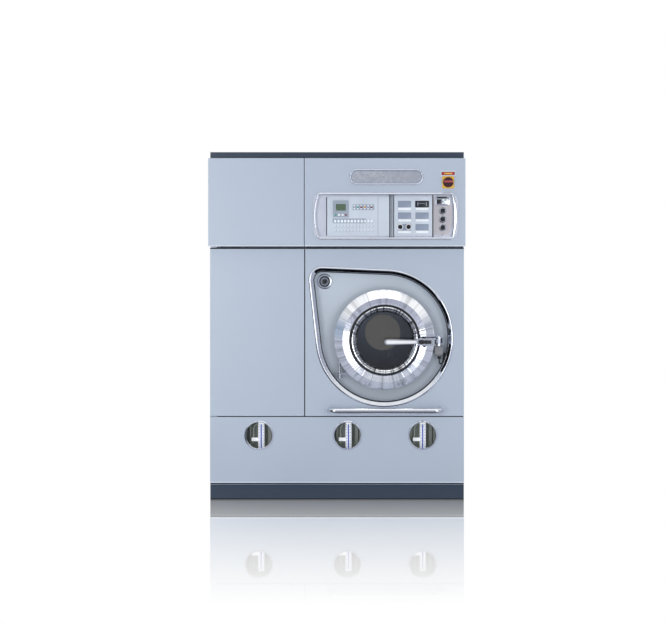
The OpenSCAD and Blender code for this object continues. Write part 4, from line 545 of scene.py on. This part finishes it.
def round_section(corners, radius=1.2, steps=5):
    """A closed outline with each corner rounded: a quadratic blend from a point on one
    edge to a point on the next, pulled towards the corner between them."""
    corners = np.array(corners, float)
    before, after = np.roll(corners, 1, axis=0), np.roll(corners, -1, axis=0)
    length_in = np.linalg.norm(before - corners, axis=1, keepdims=True)
    length_out = np.linalg.norm(after - corners, axis=1, keepdims=True)
    cut_in, cut_out = np.minimum(radius, length_in * 0.45), np.minimum(radius, length_out * 0.45)
    start = corners + (before - corners) / length_in * cut_in
    end = corners + (after - corners) / length_out * cut_out
    t = np.linspace(0, 1, steps)[None, :, None]
    blend = start[:, None] * (1 - t) ** 2 + 2 * corners[:, None] * t * (1 - t) + end[:, None] * t ** 2
    return blend.reshape(-1, 2)


def carried(name, path, section, plane, material):
    """A closed section carried round a closed path. path holds the points and outward
    directions; a section point (o, f) goes o outwards and f in front of the plane."""
    edge, outward = path
    section = np.asarray(section, float)
    if section.ndim == 2:
        section = np.broadcast_to(section, (len(edge), *section.shape))
    ring = np.empty((len(edge), section.shape[1], 3))
    ring[..., 0] = edge[:, None, 0] + outward[:, None, 0] * section[..., 0]
    ring[..., 2] = edge[:, None, 1] + outward[:, None, 1] * section[..., 0]
    ring[..., 1] = plane - section[..., 1]
    return from_arrays(name, ring.reshape(-1, 3), cells(*ring.shape[:2], closed=(True, True)), material)


# Section of the trim: outwards, and towards the front from the panel's face
TRIM = [(0, 0.1), (0, 1.2), (-3.5, 4.2), (-9, 6), (-27.5, -4.7), (-29, -9), (-29, -49.8), (-26.5, -49.8),
        (-24, -12), (-9, -1)]
trim = carried("recess_trim_bright", teardrop_stations(720), round_section(TRIM, 2.0, 6), FRONT, chrome)
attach(trim, "cabinet")
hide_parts("recess_trim")
# Black rubber: matt, it closes the joints with a dark line. The same black also stands
# as painted shade just inside the recess trim and in the gaps between the control modules
rubber_and_painted_shade = moulded("black_rubber_and_painted_shade", "#0f1216", 0.5)
# A black strip just inside the trim's inner edge is painted shade, a dark inner line
shade_line_section = round_section([(-28.8, -9), (-28.8, -18), (-33, -18), (-33, -11)], 1.5, 4)
trim_shade_line = carried("recess_trim_painted_shade", teardrop_stations(480), shade_line_section, FRONT, rubber_and_painted_shade)
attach(trim_shade_line, "cabinet")

# ---------------------------------------------------------------------------
# Bar and dosing port. The bar is bent stainless tube, brushed along its length;
# the port is a turned fitting in the recess with a dark bore.
# ---------------------------------------------------------------------------
# Brushed along the tube: its highlights run along it and are drawn out across it
brushed_bar = metal("brushed_bar", "#d9dce2", 0.17, lines=(1, 60, 60), coarse=30.0, aniso=0.3)
dress(brushed_bar, "front_bar")
BAR_ENDS, BAR_Z, COVER = (-41.6, 597.6), 523, 46.6
covers = plates("bar_flange_covers", [(x, BAR_Z, COVER, COVER) for x in BAR_ENDS], FRONT, FRONT - 5,
                COVER / 2, 1.2, pale_blue)
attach(covers, "cabinet")
# Turned and polished: a narrow bright shine
turned_steel = metal("turned_fitting", "#c4c9d1", 0.16, coarse=60.0)
dress(turned_steel, "dosing_port")


def circle_stations(centre, radius, count=72):
    """Points round a circle in the front plane, and the outward direction at each."""
    angle = np.arange(count) / count * 2 * np.pi
    out = np.stack([np.cos(angle), np.sin(angle)], axis=-1)
    return np.array(centre) + radius * out, out


PORT = (-73, 1255)
GASKET_RADIUS, PLUG = 26.5, 26
port_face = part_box("dosing_port")[0][1] / MM
port_section = round_section([(-4, -3), (-4, 0.6), (4, 0.6), (4, -3)], 1.0, 4)
port_gasket = carried("dosing_port_gasket", circle_stations(PORT, GASKET_RADIUS), port_section, port_face,
                      rubber_and_painted_shade)
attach(port_gasket, "cabinet")
port_plug = plates("dosing_port_plug", [(*PORT, PLUG, PLUG)], port_face + 4, port_face - 0.6, PLUG / 2, 2,
                   rubber_and_painted_shade)
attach(port_plug, "cabinet")

# ---------------------------------------------------------------------------
# Loading door. A spun and polished ring with a satin face, a back plate, a
# bright clamp and a thick dark glass, hung on a rod behind the ring.
# ---------------------------------------------------------------------------


def spun_metal(name, bright, satin, rough, satin_rough, band, painted_streak, fine, dish):
    """Metal turned on a lathe about the door's centre. Noise of the direction from the
    centre darkens the colour in streaks along the radius as painted reflections of a darker
    room, and tilts the surface along them; noise of the radius gives the turning marks, and
    between the two radii of the band the face is satin instead of polished. Inside the
    band's outer radius the face is dished: it rises outwards by dish."""
    made, tree = bare(name)
    place = add(tree, "ShaderNodeTexCoord")
    centre = (DOOR[0] * MM, 0, DOOR[1] * MM)
    away = add(tree, "ShaderNodeVectorMath", [("operation", "SUBTRACT"), (1, centre)],
               [(0, place, "Object")])
    flat = add(tree, "ShaderNodeVectorMath", [("operation", "MULTIPLY"), (1, (1, 0, 1))], [(0, away, 0)])
    radius = add(tree, "ShaderNodeVectorMath", [("operation", "LENGTH")], [(0, flat, 0)])
    aim = add(tree, "ShaderNodeVectorMath", [("operation", "NORMALIZE")], [(0, flat, 0)])
    rays = add(tree, "ShaderNodeTexNoise", [("Scale", fine), ("Detail", 2.5), ("Roughness", 0.6)],
               [("Vector", aim, 0)])
    # Turning marks are about 0.2 mm apart; they are drawn at 1 mm to show
    turns = add(tree, "ShaderNodeTexNoise", [("noise_dimensions", "1D"), ("Scale", 900.0), ("Detail", 3.0)],
                [("W", radius, "Value")])
    inner = add(tree, "ShaderNodeMapRange", [(1, band[0] * MM), (2, (band[0] + 2) * MM), (3, 0.0), (4, 1.0)],
                [(0, radius, "Value")])
    outer = add(tree, "ShaderNodeMapRange", [(1, (band[1] - 1) * MM), (2, band[1] * MM), (3, 1.0), (4, 0.0)],
                [(0, radius, "Value")])
    face = add(tree, "ShaderNodeMath", [("operation", "MULTIPLY")], [(0, inner, 0), (1, outer, 0)])
    base = add(tree, "ShaderNodeMix", [("data_type", "RGBA"), (6, linear(bright)), (7, linear(satin))],
               [(0, face, 0)])
    painted_streak_tone = add(tree, "ShaderNodeMapRange", [(1, 0.34), (2, 0.5), (3, 1 - painted_streak), (4, 1.04)], [(0, rays, 0)])
    tint = add(tree, "ShaderNodeVectorMath", [("operation", "SCALE")], [(0, base, 2), (3, painted_streak_tone, 0)])
    gloss = add(tree, "ShaderNodeMapRange", [(3, rough), (4, satin_rough)], [(0, face, 0)])
    slope = add(tree, "ShaderNodeMath", [("operation", "MINIMUM"), (1, band[1] * MM)], [(0, radius, "Value")])
    slope = add(tree, "ShaderNodeMath", [("operation", "MULTIPLY"), (1, dish)], [(0, slope, 0)])
    bowl = add(tree, "ShaderNodeBump", [("Strength", 1.0), ("Distance", 1.0)], [("Height", slope, 0)])
    wave = add(tree, "ShaderNodeBump", [("Strength", 0.35), ("Distance", 0.006)],
               [("Height", rays, 0), ("Normal", bowl, 0)])
    cut = add(tree, "ShaderNodeBump", [("Strength", 0.12), ("Distance", 0.0004)],
              [("Height", turns, 0), ("Normal", wave, 0)])
    shader = add(tree, "ShaderNodeBsdfPrincipled", [("Metallic", 1.0)],
                 [("Base Color", tint, 0), ("Roughness", gloss, 0), ("Normal", cut, 0)])
    add(tree, "ShaderNodeOutputMaterial", joins=[(0, shader, 0)])
    return made


# The ring is polished, with a satin band; the clamp is a mirror with dark streaks painted
# into its colour as reflections; the plate and fittings are blasted, with a soft grey shine
ring_steel = spun_metal("spun_polished_ring", bright="#f2f4f8", satin="#dde0e7", rough=0.12,
                        satin_rough=0.24, band=(212, 240), painted_streak=0.3, fine=7.0, dish=0.48)
dress(ring_steel, "door_ring")
clamp_steel = spun_metal("polished_clamp", bright="#eef0f4", satin="#e4e7ec", rough=0.08,
                         satin_rough=0.12, band=(176, 300), painted_streak=0.85, fine=12.0, dish=0.6)
dress(clamp_steel, "glass_clamp")
satin_steel = metal("satin_fitting_steel", "#aeb3ba", 0.26, coarse=60.0)
dress(satin_steel, "door_plate", "door_fittings", "hinge_brackets")
# A black gasket fills the groove between the clamp and the ring
GROOVE_RADIUS = 195.5
ring_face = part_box("door_ring")[0][1] / MM
groove_section = round_section([(-5, -20), (-5, -5.5), (0, -4), (5, -5.5), (5, -20)], 1.5, 4)
groove = carried("glass_gasket", circle_stations(DOOR, GROOVE_RADIUS, 120), groove_section, ring_face,
                 rubber_and_painted_shade)
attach(groove, "loading_door")

# Thick glass, dark against the cage, that mirrors the room; a faint film of lint, in
# patches of about 170 mm, dulls what it mirrors
glass, tree = bare("toughened_dark_glass")
place = add(tree, "ShaderNodeTexCoord")
film = add(tree, "ShaderNodeTexNoise", [("Scale", 6.0), ("Detail", 3.0)], [("Vector", place, "Object")])
haze = add(tree, "ShaderNodeMapRange", [(1, 0.35), (2, 0.7), (3, 0.0), (4, 0.06)], [(0, film, 0)])
shader = add(tree, "ShaderNodeBsdfPrincipled",
             [("Base Color", linear("#b2b7bb")), ("IOR", 1.5), ("Transmission Weight", 1.0)],
             [("Roughness", haze, 0)])
add(tree, "ShaderNodeOutputMaterial", joins=[(0, shader, 0)])
dress(glass, "door_glass")
dress(rubber_and_painted_shade, "door_seal")

# ---------------------------------------------------------------------------
# Lever. A polished casting with a fork on the door's ear; its long grip is a
# tapered pale sleeve, and dark domes cap the pin above and below.
# ---------------------------------------------------------------------------
# Cast and polished: bright and slightly uneven
lever_alloy = metal("cast_polished_lever", "#d4d7dc", 0.18, coarse=40.0)
dress(lever_alloy, "door_lever")
LATCH_Z = 919
GRIP_FROM, GRIP_TO, GRIP_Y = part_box("door_lever")[0][0] / MM - 1, 461, -710


def grip_points(rows=48, columns=40):
    """A sleeve whose half height falls from 16.6 to 11 mm along it. Its section is a
    superellipse of power 2.4, and its ends close as 1 - |2 s - 1| ** 14 does under a square
    root, where s runs from 0 to 1 along it."""
    s = np.linspace(0, 1, rows)[:, None]
    angle = np.arange(columns)[None, :] / columns * 2 * np.pi
    close = np.clip(1 - np.abs(2 * s - 1) ** 14, 1e-4, 1) ** 0.5
    tall = (16.6 - 5.6 * s) * close
    thick = 10.4 * close
    power = 2 / 2.4
    x = GRIP_FROM + (GRIP_TO - GRIP_FROM) * s + 0 * angle
    y = GRIP_Y + thick * np.sign(np.cos(angle)) * np.abs(np.cos(angle)) ** power
    z = LATCH_Z + tall * np.sign(np.sin(angle)) * np.abs(np.sin(angle)) ** power
    return np.stack([x, y, z], axis=-1)


def capped(name, points, material):
    """A tube of rings on a grid, closed by a face at either end."""
    rows, columns = points.shape[:2]
    sides = cells(rows, columns, closed=(False, True)).tolist()
    ends = [list(range(columns))[::-1], list(range((rows - 1) * columns, rows * columns))]
    return from_arrays(name, points.reshape(-1, 3), sides + ends, material)


# Enamelled sleeve: pale and glossy
grip_white = coat_of_paint("pale_grip_enamel", "#f1f2f4", rough=0.2)
grip = capped("lever_grip", grip_points(), grip_white)
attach(grip, "lever")


def dome_points(centre, radius, height, rows=9, columns=28):
    """A cap about an upright axis: its radius falls with the cosine and its height grows
    with the sine of the same angle."""
    t = np.linspace(0, 0.49 * np.pi, rows)[:, None]
    angle = np.arange(columns)[None, :] / columns * 2 * np.pi
    x = centre[0] + radius * np.cos(t) * np.cos(angle)
    y = centre[1] + radius * np.cos(t) * np.sin(angle)
    z = centre[2] + height * np.sin(t) + 0 * angle
    return np.stack([x, y, z], axis=-1)


# Black covers in the lever's slot and at its tip, and the bumper on the catch behind it.
# Their depths follow the CAD faces that they lie on
slot_black = plates("lever_slot_cover", [(497, LATCH_Z, 74, 20)], -712.5, -716.2, 4, 0.8, rubber_and_painted_shade)
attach(slot_black, "lever")
tip_black = plates("lever_tip_bumper", [(556, LATCH_Z, 7, 27)], -714, -717.6, 2.5, 1, rubber_and_painted_shade)
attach(tip_black, "lever")
catch_black = plates("catch_bumper", [(599.5, LATCH_Z, 8, 30)], -621, -628, 2.5, 1, rubber_and_painted_shade)
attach(catch_black, "cabinet")
PIN_X, PIN_Y, CAP_OFF, CAP_RADIUS, CAP_TALL = 495, -700, 20.6, 12, 9
for name, side in (("lever_cap_upper", 1), ("lever_cap_lower", -1)):
    dome = dome_points((PIN_X, PIN_Y, LATCH_Z + side * CAP_OFF), CAP_RADIUS, side * CAP_TALL)
    cap = capped(name, dome, rubber_and_painted_shade)
    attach(cap, "lever")

# ---------------------------------------------------------------------------
# Interlock. A moulded switch case beside the catch, and a short rubber lead that
# leaves its gland downwards, turns up in a loop and goes into a grommet.
# ---------------------------------------------------------------------------
# Moulded plastic: grey with a dull grain
switch_grey = moulded("grey_switch_case", "#85868a", 0.5)
dress(switch_grey, "interlock_switch")
# The lead's route is that of the solid that it replaces
ROUTE = np.array([(589, -578, 807), (589, -578, 799), (590, -577, 791), (594, -575, 783), (601, -572, 779),
                  (608, -569, 783), (612, -568, 793), (614, -569, 805), (616, -570, 817), (618, -570, 826),
                  (619, -564, 832), (619, -556, 832)], float)
LEAD_D = 7.6


def smooth_line(points, between=8):
    """A smooth line through points: a Catmull-Rom cubic on each stretch, whose slope at a
    point is half the step from the point before it to the point after it."""
    padded = np.vstack([2 * points[0] - points[1], points, 2 * points[-1] - points[-2]])
    p0, p1, p2, p3 = (padded[k:len(padded) - 3 + k, None] for k in range(4))
    t = (np.arange(between) / between)[None, :, None]
    line = 0.5 * (2 * p1 + (p2 - p0) * t + (2 * p0 - 5 * p1 + 4 * p2 - p3) * t ** 2
                  + (3 * p1 - p0 - 3 * p2 + p3) * t ** 3)
    return np.vstack([line.reshape(-1, 3), points[-1]])


def tube_points(line, radius, columns=14):
    """Rings round a line: each stands square to the line's direction there, on the side
    direction square to X."""
    step = np.gradient(line, axis=0)
    step /= np.linalg.norm(step, axis=1, keepdims=True)
    side = np.cross(step, [1.0, 0.0, 0.0])
    side /= np.linalg.norm(side, axis=1, keepdims=True)
    other = np.cross(step, side)
    angle = (np.arange(columns) / columns * 2 * np.pi)[None, :, None]
    return line[:, None] + radius * (np.cos(angle) * side[:, None] + np.sin(angle) * other[:, None])


route = smooth_line(ROUTE)
lead = capped("interlock_cord", tube_points(route, LEAD_D / 2), rubber_and_painted_shade)
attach(lead, "cabinet")
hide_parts("interlock_lead")
# A turned sleeve grips the lead under the switch, and a round grommet takes its end
sleeve_z = np.array([806.5, 808, 812, 824, 828, 833])
sleeve_r = np.array([5.5, 8, 9.6, 9.6, 7.4, 7.4])
angle = np.arange(24) / 24 * 2 * np.pi
sleeve_x = ROUTE[0, 0] + np.outer(sleeve_r, np.cos(angle))
sleeve_y = ROUTE[0, 1] + np.outer(sleeve_r, np.sin(angle))
sleeve = capped("lead_gland_sleeve", np.stack([sleeve_x, sleeve_y, sleeve_z[:, None] + 0 * angle], axis=-1),
                rubber_and_painted_shade)
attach(sleeve, "cabinet")
grommet = plates("lead_grommet", [(ROUTE[-1, 0], ROUTE[-1, 2], 19, 19)], -550, -560, 9.5, 3, rubber_and_painted_shade)
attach(grommet, "cabinet")

# ---------------------------------------------------------------------------
# Controls. A brushed plate behind the barrel opening in a bright moulding, with
# moulded modules, a display, keys, windows, buttons and knobs.
# ---------------------------------------------------------------------------
# The opening: middle across, middle's height, width over its bulging ends, and height
PANEL = (278, 1630, 808, 253)
BULGE, CORNER = 22, 18
# Front faces of the control plate and of the modules
PLATE, MODULE = -626, -632


def barrel_stations(grow, count=640):
    """Points round the control opening and the outward direction at each: straight top
    and foot, ends that are arcs of one large radius, and round corners inside both. The
    points are spaced evenly along it."""
    w, h, corner = PANEL[2] + 2 * grow, PANEL[3] + 2 * grow, CORNER + grow
    end_r = (h * h / 4 + BULGE * BULGE) / (2 * BULGE)
    cz = h / 2 - corner
    end_x = w / 2 - end_r
    cx = end_x + np.sqrt((end_r - corner) ** 2 - cz * cz)
    tip = np.arcsin(cz / (end_r - corner))
    arc = np.linspace(-tip, tip, 200)
    bend = np.linspace(tip, np.pi / 2, 60)
    right = [(np.cos(arc) * end_r + end_x, np.sin(arc) * end_r, arc),
             (cx + corner * np.cos(bend), cz + corner * np.sin(bend), bend)]
    left = [(-x[::-1], z[::-1], np.pi - a[::-1]) for x, z, a in right[::-1]]
    low = [(x[::-1], -z[::-1], -a[::-1]) for x, z, a in (left[0], right[1])]
    runs = right + left + low
    x, z, a = (np.concatenate([run[k] for run in runs]) for k in range(3))
    x, z, a = np.append(x, x[0]), np.append(z, z[0]), np.append(np.unwrap(a), a[0] + 2 * np.pi)
    s = np.concatenate([[0], np.cumsum(np.hypot(np.diff(x), np.diff(z)))])
    even = np.arange(count) / count * s[-1]
    a = np.interp(even, s, a)
    points = np.stack([np.interp(even, s, x) + PANEL[0], np.interp(even, s, z) + PANEL[1]], axis=-1)
    return points, np.stack([np.cos(a), np.sin(a)], axis=-1)


# Brushed level: it draws what it mirrors out upright
brushed_plate = metal("brushed_control_plate", "#d6d9e1", 0.3, lines=(1, 40, 40), coarse=30.0, aniso=0.4)
dress(brushed_plate, "control_plate")
edge, outward = barrel_stations(0)
# The moulding is 13 mm wide, and 24 mm where it swells at the right end. Its section goes
# from its outer edge over its crown to its inner edge and 6 mm back behind it: shares of
# the way in, and heights before the fascia
OUTER, INNER, SWELL = 7.4, -5.6, 11
swell = np.clip((edge[:, 0] - 640) / 40, 0, 1) ** 2 * SWELL
shares = np.array([0, 0, 0.38, 0.7, 1, 1, 1])
heights = np.array([0.1, 3.36, 7.56, 6.72, 1.68, -6, -6])
over = OUTER * (1 - shares) + (INNER - swell)[:, None] * shares
over[:, -1] += 5
section = np.stack([over, np.broadcast_to(heights, over.shape)], axis=-1)
# Three rounds of corner cutting: each edge keeps the points at a quarter and three quarters
for _ in range(3):
    after = np.roll(section, -1, axis=1)
    section = np.stack([0.75 * section + 0.25 * after, 0.25 * section + 0.75 * after],
                       axis=2).reshape(len(edge), -1, 2)
bezel = carried("control_moulding", (edge, outward), section, FASCIA, chrome)
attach(bezel, "cabinet")


def slab(outline, back, front):
    """Two copies of an outline in the front plane, one at either depth."""
    return np.stack([np.insert(outline, 1, y, axis=1) for y in (back, front)])


# The instrument plate fills the right end of the opening, as far as x 552. It is stainless
# sheet brushed upright, which smears what it mirrors sideways
warm_plate = metal("warm_brushed_instrument_plate", "#d2cccd", 0.33, lines=(30, 30, 1), coarse=8.0,
                   spread=0.05, depth=0.06)
shape, _ = barrel_stations(-21, 300)
shape[:, 0] = np.clip(shape[:, 0], 552, None)
keep = np.concatenate([[True], np.linalg.norm(np.diff(shape, axis=0), axis=1) > 0.3])
instrument_plate = capped("instrument_plate", slab(shape[keep], PLATE + 0.2, PLATE - 1.2), warm_plate)
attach(instrument_plate, "cabinet")

# An upright folded strip of satin steel, greyer than the plates beside it, divides the
# modules; black plates fill the gaps where they meet it and each other, as painted shade
strip_steel = metal("satin_divider_steel", "#8f949c", 0.34, lines=(40, 40, 1), coarse=20.0)
divider_z = (PANEL[1] - PANEL[3] / 2 + 2, PANEL[1] + PANEL[3] / 2 - 2)
middle, tall = np.mean(divider_z), np.ptp(divider_z)
divider = plates("module_divider", [(314, middle, 23, tall)], PLATE, MODULE - 5, 1, 6, strip_steel, waist=[
    (0, PLATE), (0, MODULE + 1), (2, MODULE - 2.4), (5, MODULE - 4.4), (9, MODULE - 5)])
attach(divider, "cabinet")
module_gap_shade = plates("module_gaps_painted_shade", [(-58.6, middle, 4.4, tall - 30), (325.6, middle, 3.2, tall - 4),
                                      (300.8, middle, 2.6, tall - 4), (548.6, middle, 5, tall - 6)],
                     PLATE, MODULE - 0.6, 0.5, 0.3, rubber_and_painted_shade)
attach(module_gap_shade, "cabinet")

# Moulded cases and membrane keys: fine-grained plastic with a broad soft shine. Lenses and
# windows are smoother, so they catch small sharp highlights
module_white = moulded("white_blue_module", "#c9d2de", 0.4)
dress(module_white, "control_modules")
display_grey = moulded("grey_display_case", "#9aa5b2", 0.35)
dress(display_grey, "display_units")
key_white = moulded("white_key", "#f3f7fc", 0.4)
print_grey = moulded("grey_membrane_print", "#98a4b4", 0.42)
key_pale = moulded("pale_key", "#d3dbe6", 0.4)
# The grey set down and to the right of each key is a painted shadow
shadow_grey = moulded("painted_key_shadow_grey", "#8391a4", 0.45)
lcd_green = moulded("green_liquid_crystal", "#566b55", 0.16)
smoked_grey_and_shade = moulded("smoked_grey_window_and_painted_shade", "#8d98ac", 0.2)
black_cap = moulded("black_cap", "#111419", 0.3)
dress(black_cap, "button_top", "button_middle", "button_bottom", "selector_left", "selector_right")
green_lens = moulded("green_lens", "#2f9a86", 0.2)
dark_red_lens = moulded("dark_red_lens", "#7a1232", 0.2)
amber_lens = moulded("amber_lens", "#d9a238", 0.2)

# Keys, lenses, windows and plates on the modules. Each row gives the places, how far the
# back and the front stand before the modules' face, the corner radius, the softened rim
# and the material
KEY_PITCH, KEY_ROW, TOP_ROW = 19, 26, 1590
keys = [(-9.5 + KEY_PITCH * i, 1550 + KEY_ROW * j) for i in range(12) for j in range(3)]
panes = [(x, 1567.5 + 66 * j) for x in (387, 487) for j in range(3)]
SCREEN_Z, SMALL_BUTTON_Z = 1681, 1637.5
overlays = {
    "membrane_seam": ([(235, 1630, 2.2, 224)], 0, 0.3, 0.2, 0.1, smoked_grey_and_shade),
    "key_shadows": ([(x + 2.6, z - 2.4, 10.5, 13.5) for x, z in keys], 0, 0.5, 2, 0.1, shadow_grey),
    "key_print": ([(72, 1603.5, 192, 27)], 0, 0.4, 3, 0.1, print_grey),
    "keys_upper": ([(x, z, 11, 13) for x, z in keys if z > TOP_ROW], 0, 1.6, 2, 0.5, key_white),
    "keys_lower": ([(x - 1, z + 1, 9.5, 12.5) for x, z in keys if z < TOP_ROW], 0, 1.4, 2, 0.5, key_pale),
    "display_screen": ([(23, SCREEN_Z, 56, 37)], 2, 4.3, 1, 0.3, lcd_green),
    "display_button_green": ([(-6, SMALL_BUTTON_Z, 11, 11)], 5, 7.4, 5.5, 1.4, green_lens),
    "display_buttons_white": ([(x, SMALL_BUTTON_Z, 12, 10) for x in (12.5, 33)], 5, 7.2, 2.5, 1, key_white),
    "display_button_red": ([(52, SMALL_BUTTON_Z, 11, 11)], 5, 7.4, 5.5, 1.4, dark_red_lens),
    "indicator_strip": ([(151.5, 1681.5, 121, 31)], 1, 2.6, 2, 0.3, print_grey),
    "indicator_keys": ([(100 + 19.6 * k, 1690 - 17 * j, 9, 6) for k in range(6) for j in range(2)],
                       2, 3.4, 1.5, 0.4, key_white),
    "indicator_green": ([(119.5, SCREEN_Z, 10.5, 10.5)], 2, 4.4, 5.2, 1.4, green_lens),
    "indicators_red": ([(139.5, SCREEN_Z, 10.5, 10.5), (197.5, SCREEN_Z, 10.5, 10.5)],
                       2, 4.4, 5.2, 1.4, dark_red_lens),
    "indicator_amber": ([(159, SCREEN_Z, 10.5, 10.5)], 2, 4.4, 5.2, 1.4, amber_lens),
    "window_panes": ([(x, z, 75, 36) for x, z in panes if not (x > 450 and z > 1690)],
                     -2.4, -0.9, 2, 0.3, smoked_grey_and_shade),
    "reader_pane": ([(487, 1699.5, 80, 38)], -1, 1.6, 5, 0.6, black_cap),
    "reader_marks": ([(463, 1700, 5, 20), (511, 1700, 5, 20), (487, 1703, 34, 3)],
                     1, 2.2, 1, 0.2, smoked_grey_and_shade),
    "write_slots": ([(x, z - 27.5, 72, 11) for x, z in panes], 0, 1.4, 2, 0.4, key_white),
    "meter_case": ([(605, 1719.5, 82, 54)], -2, 3.4, 13, 2.2, turned_steel),
    "meter_dark": ([(601, 1737, 58, 9), (583, 1713, 25, 25)], 2, 4.6, 2, 0.5, black_cap),
    "meter_keys": ([(612, 1722, 17, 12), (631, 1722, 14, 12), (607, 1705, 9, 8), (619, 1705, 9, 8),
                    (631, 1705, 9, 8)], 2, 4.6, 1.5, 0.5, key_white),
    "meter_lens": ([(617, 1722, 8, 7)], 4, 5.2, 2, 0.4, green_lens),
}
for name, (places, back, front, corner, soften, material) in overlays.items():
    piece = plates(name, places, MODULE - back, MODULE - front, corner, soften, material)
    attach(piece, "cabinet")

# Turned rims round the three buttons, dull rings of white plastic behind the two knobs,
# and one screw at the foot of the instrument plate
dial_white = moulded("white_dial", "#f2f4f7", 0.35)
BUTTON_X, RIM_RADIUS, DIAL_Z, DIAL_RADIUS = 605, 17.2, 1569, 15.2
rim_section = round_section([(-3, -1), (-3, 3.2), (0, 4.6), (4, 1), (4, -1)], 1.2, 4)
for k, z in enumerate((1661, 1613, 1565), start=1):
    stations = circle_stations((BUTTON_X, z), RIM_RADIUS, 48)
    rim = carried(f"button_rim_{k}", stations, rim_section, PLATE - 5.4, turned_steel)
    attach(rim, "cabinet")
dial_section = round_section([(-2.4, -1), (-2.4, 0.5), (2.4, 0.5), (2.4, -1)], 0.4, 3)
for k, x in enumerate((362, 410), start=1):
    stations = circle_stations((x, DIAL_Z), DIAL_RADIUS, 40)
    dial = carried(f"knob_dial_{k}", stations, dial_section, MODULE - 0.2, dial_white)
    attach(dial, "cabinet")
plate_screw = plates("plate_screw", [(BUTTON_X, 1525, 13, 13)], PLATE, PLATE - 4, 6.5, 1, zinc, waist=[
    (0, PLATE), (0, PLATE - 2), (1, PLATE - 3.2), (3, PLATE - 4)])
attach(plate_screw, "cabinet")

# ---------------------------------------------------------------------------
# Badge and main switch. The badge is a bare pressed oval with a bright rim; the
# switch has a yellow face plate, a bare red strip above it and a maroon knob.
# ---------------------------------------------------------------------------
# Middle across, middle's height, width and height
BADGE = (283, 1853, 420, 90)
dress(brushed_plate, "fascia_plates")


def oval_stations(grow, count=360):
    """Points round the badge and the outward direction at each: two half circles of its
    half height joined by straight lines, spaced evenly."""
    r = BADGE[3] / 2 + grow
    run = BADGE[2] / 2 - BADGE[3] / 2
    around = 4 * run + 2 * np.pi * r
    s = np.arange(count) / count * around
    leg = np.searchsorted(np.cumsum([np.pi * r, 2 * run, np.pi * r]), s, side="right")
    on_leg = [leg == k for k in range(4)]
    t = [s / r - np.pi / 2, (s - np.pi * r) / (2 * run), (s - np.pi * r - 2 * run) / r + np.pi / 2,
         (s - 2 * np.pi * r - 2 * run) / (2 * run)]
    a = np.select(on_leg, [t[0], np.pi / 2 + 0 * s, t[2], -np.pi / 2 + 0 * s])
    shift = np.select(on_leg, [run + 0 * s, run - 2 * run * t[1], -run + 0 * s, -run + 2 * run * t[3]])
    out = np.stack([np.cos(a), np.sin(a)], axis=-1)
    return np.stack([BADGE[0] + shift, BADGE[1] + 0 * s], -1) + r * out, out


badge_rim = carried("badge_rim", oval_stations(-4), round_section(
    [(-4.2, -3), (-4.2, 3), (-1.5, 6.8), (1.5, 6.8), (4.2, 3), (4.2, -3)], 1.6, 5), FASCIA, chrome)
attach(badge_rim, "cabinet")
# A grey ring inside the rim is painted shade, the dark line of a groove there
badge_groove_shade = carried("badge_painted_groove_shade", oval_stations(-10.4), round_section(
    [(-2.4, -3), (-2.4, 3.8), (2.4, 3.8), (2.4, -3)], 0.8, 3), FASCIA, smoked_grey_and_shade)
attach(badge_groove_shade, "cabinet")
# Pressed sheet: its coarse skin breaks what it mirrors into flecks
badge_field = metal("satin_badge_field", "#dcdde0", 0.24, spread=0.1, coarse=40.0, depth=0.6)
field, _ = oval_stations(-12.5, 200)
badge_face = capped("badge_face", slab(field, FASCIA, FASCIA - 3.6), badge_field)
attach(badge_face, "cabinet")

# Moulded plastic, dull on the plates and smoother on the knob
yellow = moulded("yellow_switch_plate", "#e3b23c", 0.4)
red_strip = moulded("bare_red_strip", "#9c1f1c", 0.4)
maroon = moulded("maroon_knob", "#3c0f19", 0.3)
maroon_bar = moulded("worn_maroon_grip", "#a5484d", 0.35)
dress(maroon, "main_switch_knob")
SWITCH_X, STRIP_MIDDLE = 635, 1873.5
switch_plate = plates("switch_plate", [(SWITCH_X, 1823, 67, 69)], FASCIA, FASCIA - 3.5, 4, 0.6, yellow)
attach(switch_plate, "cabinet")
strip = plates("switch_strip", [(SWITCH_X, STRIP_MIDDLE, 76, 18)], FASCIA, FASCIA - 2.4, 3, 0.5, red_strip)
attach(strip, "cabinet")
bar_on_strip = plates("switch_strip_centre", [(SWITCH_X, STRIP_MIDDLE, 46, 8)], FASCIA - 2, FASCIA - 2.9,
                      2, 0.2, yellow)
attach(bar_on_strip, "cabinet")
backing = plates("switch_backing", [(SWITCH_X, 1874, 88, 32)], FASCIA, FASCIA - 1.0, 9, 0.3, module_white)
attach(backing, "cabinet")
# The knob's grip bar stands 27.5 mm before the fascia
GRIP_FACE = FASCIA - 27.5
grip_bar = plates("switch_grip_face", [(SWITCH_X, 1826, 50, 11)], GRIP_FACE, GRIP_FACE - 1.7, 3, 0.6,
                  maroon_bar)
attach(grip_bar, "main_switch")
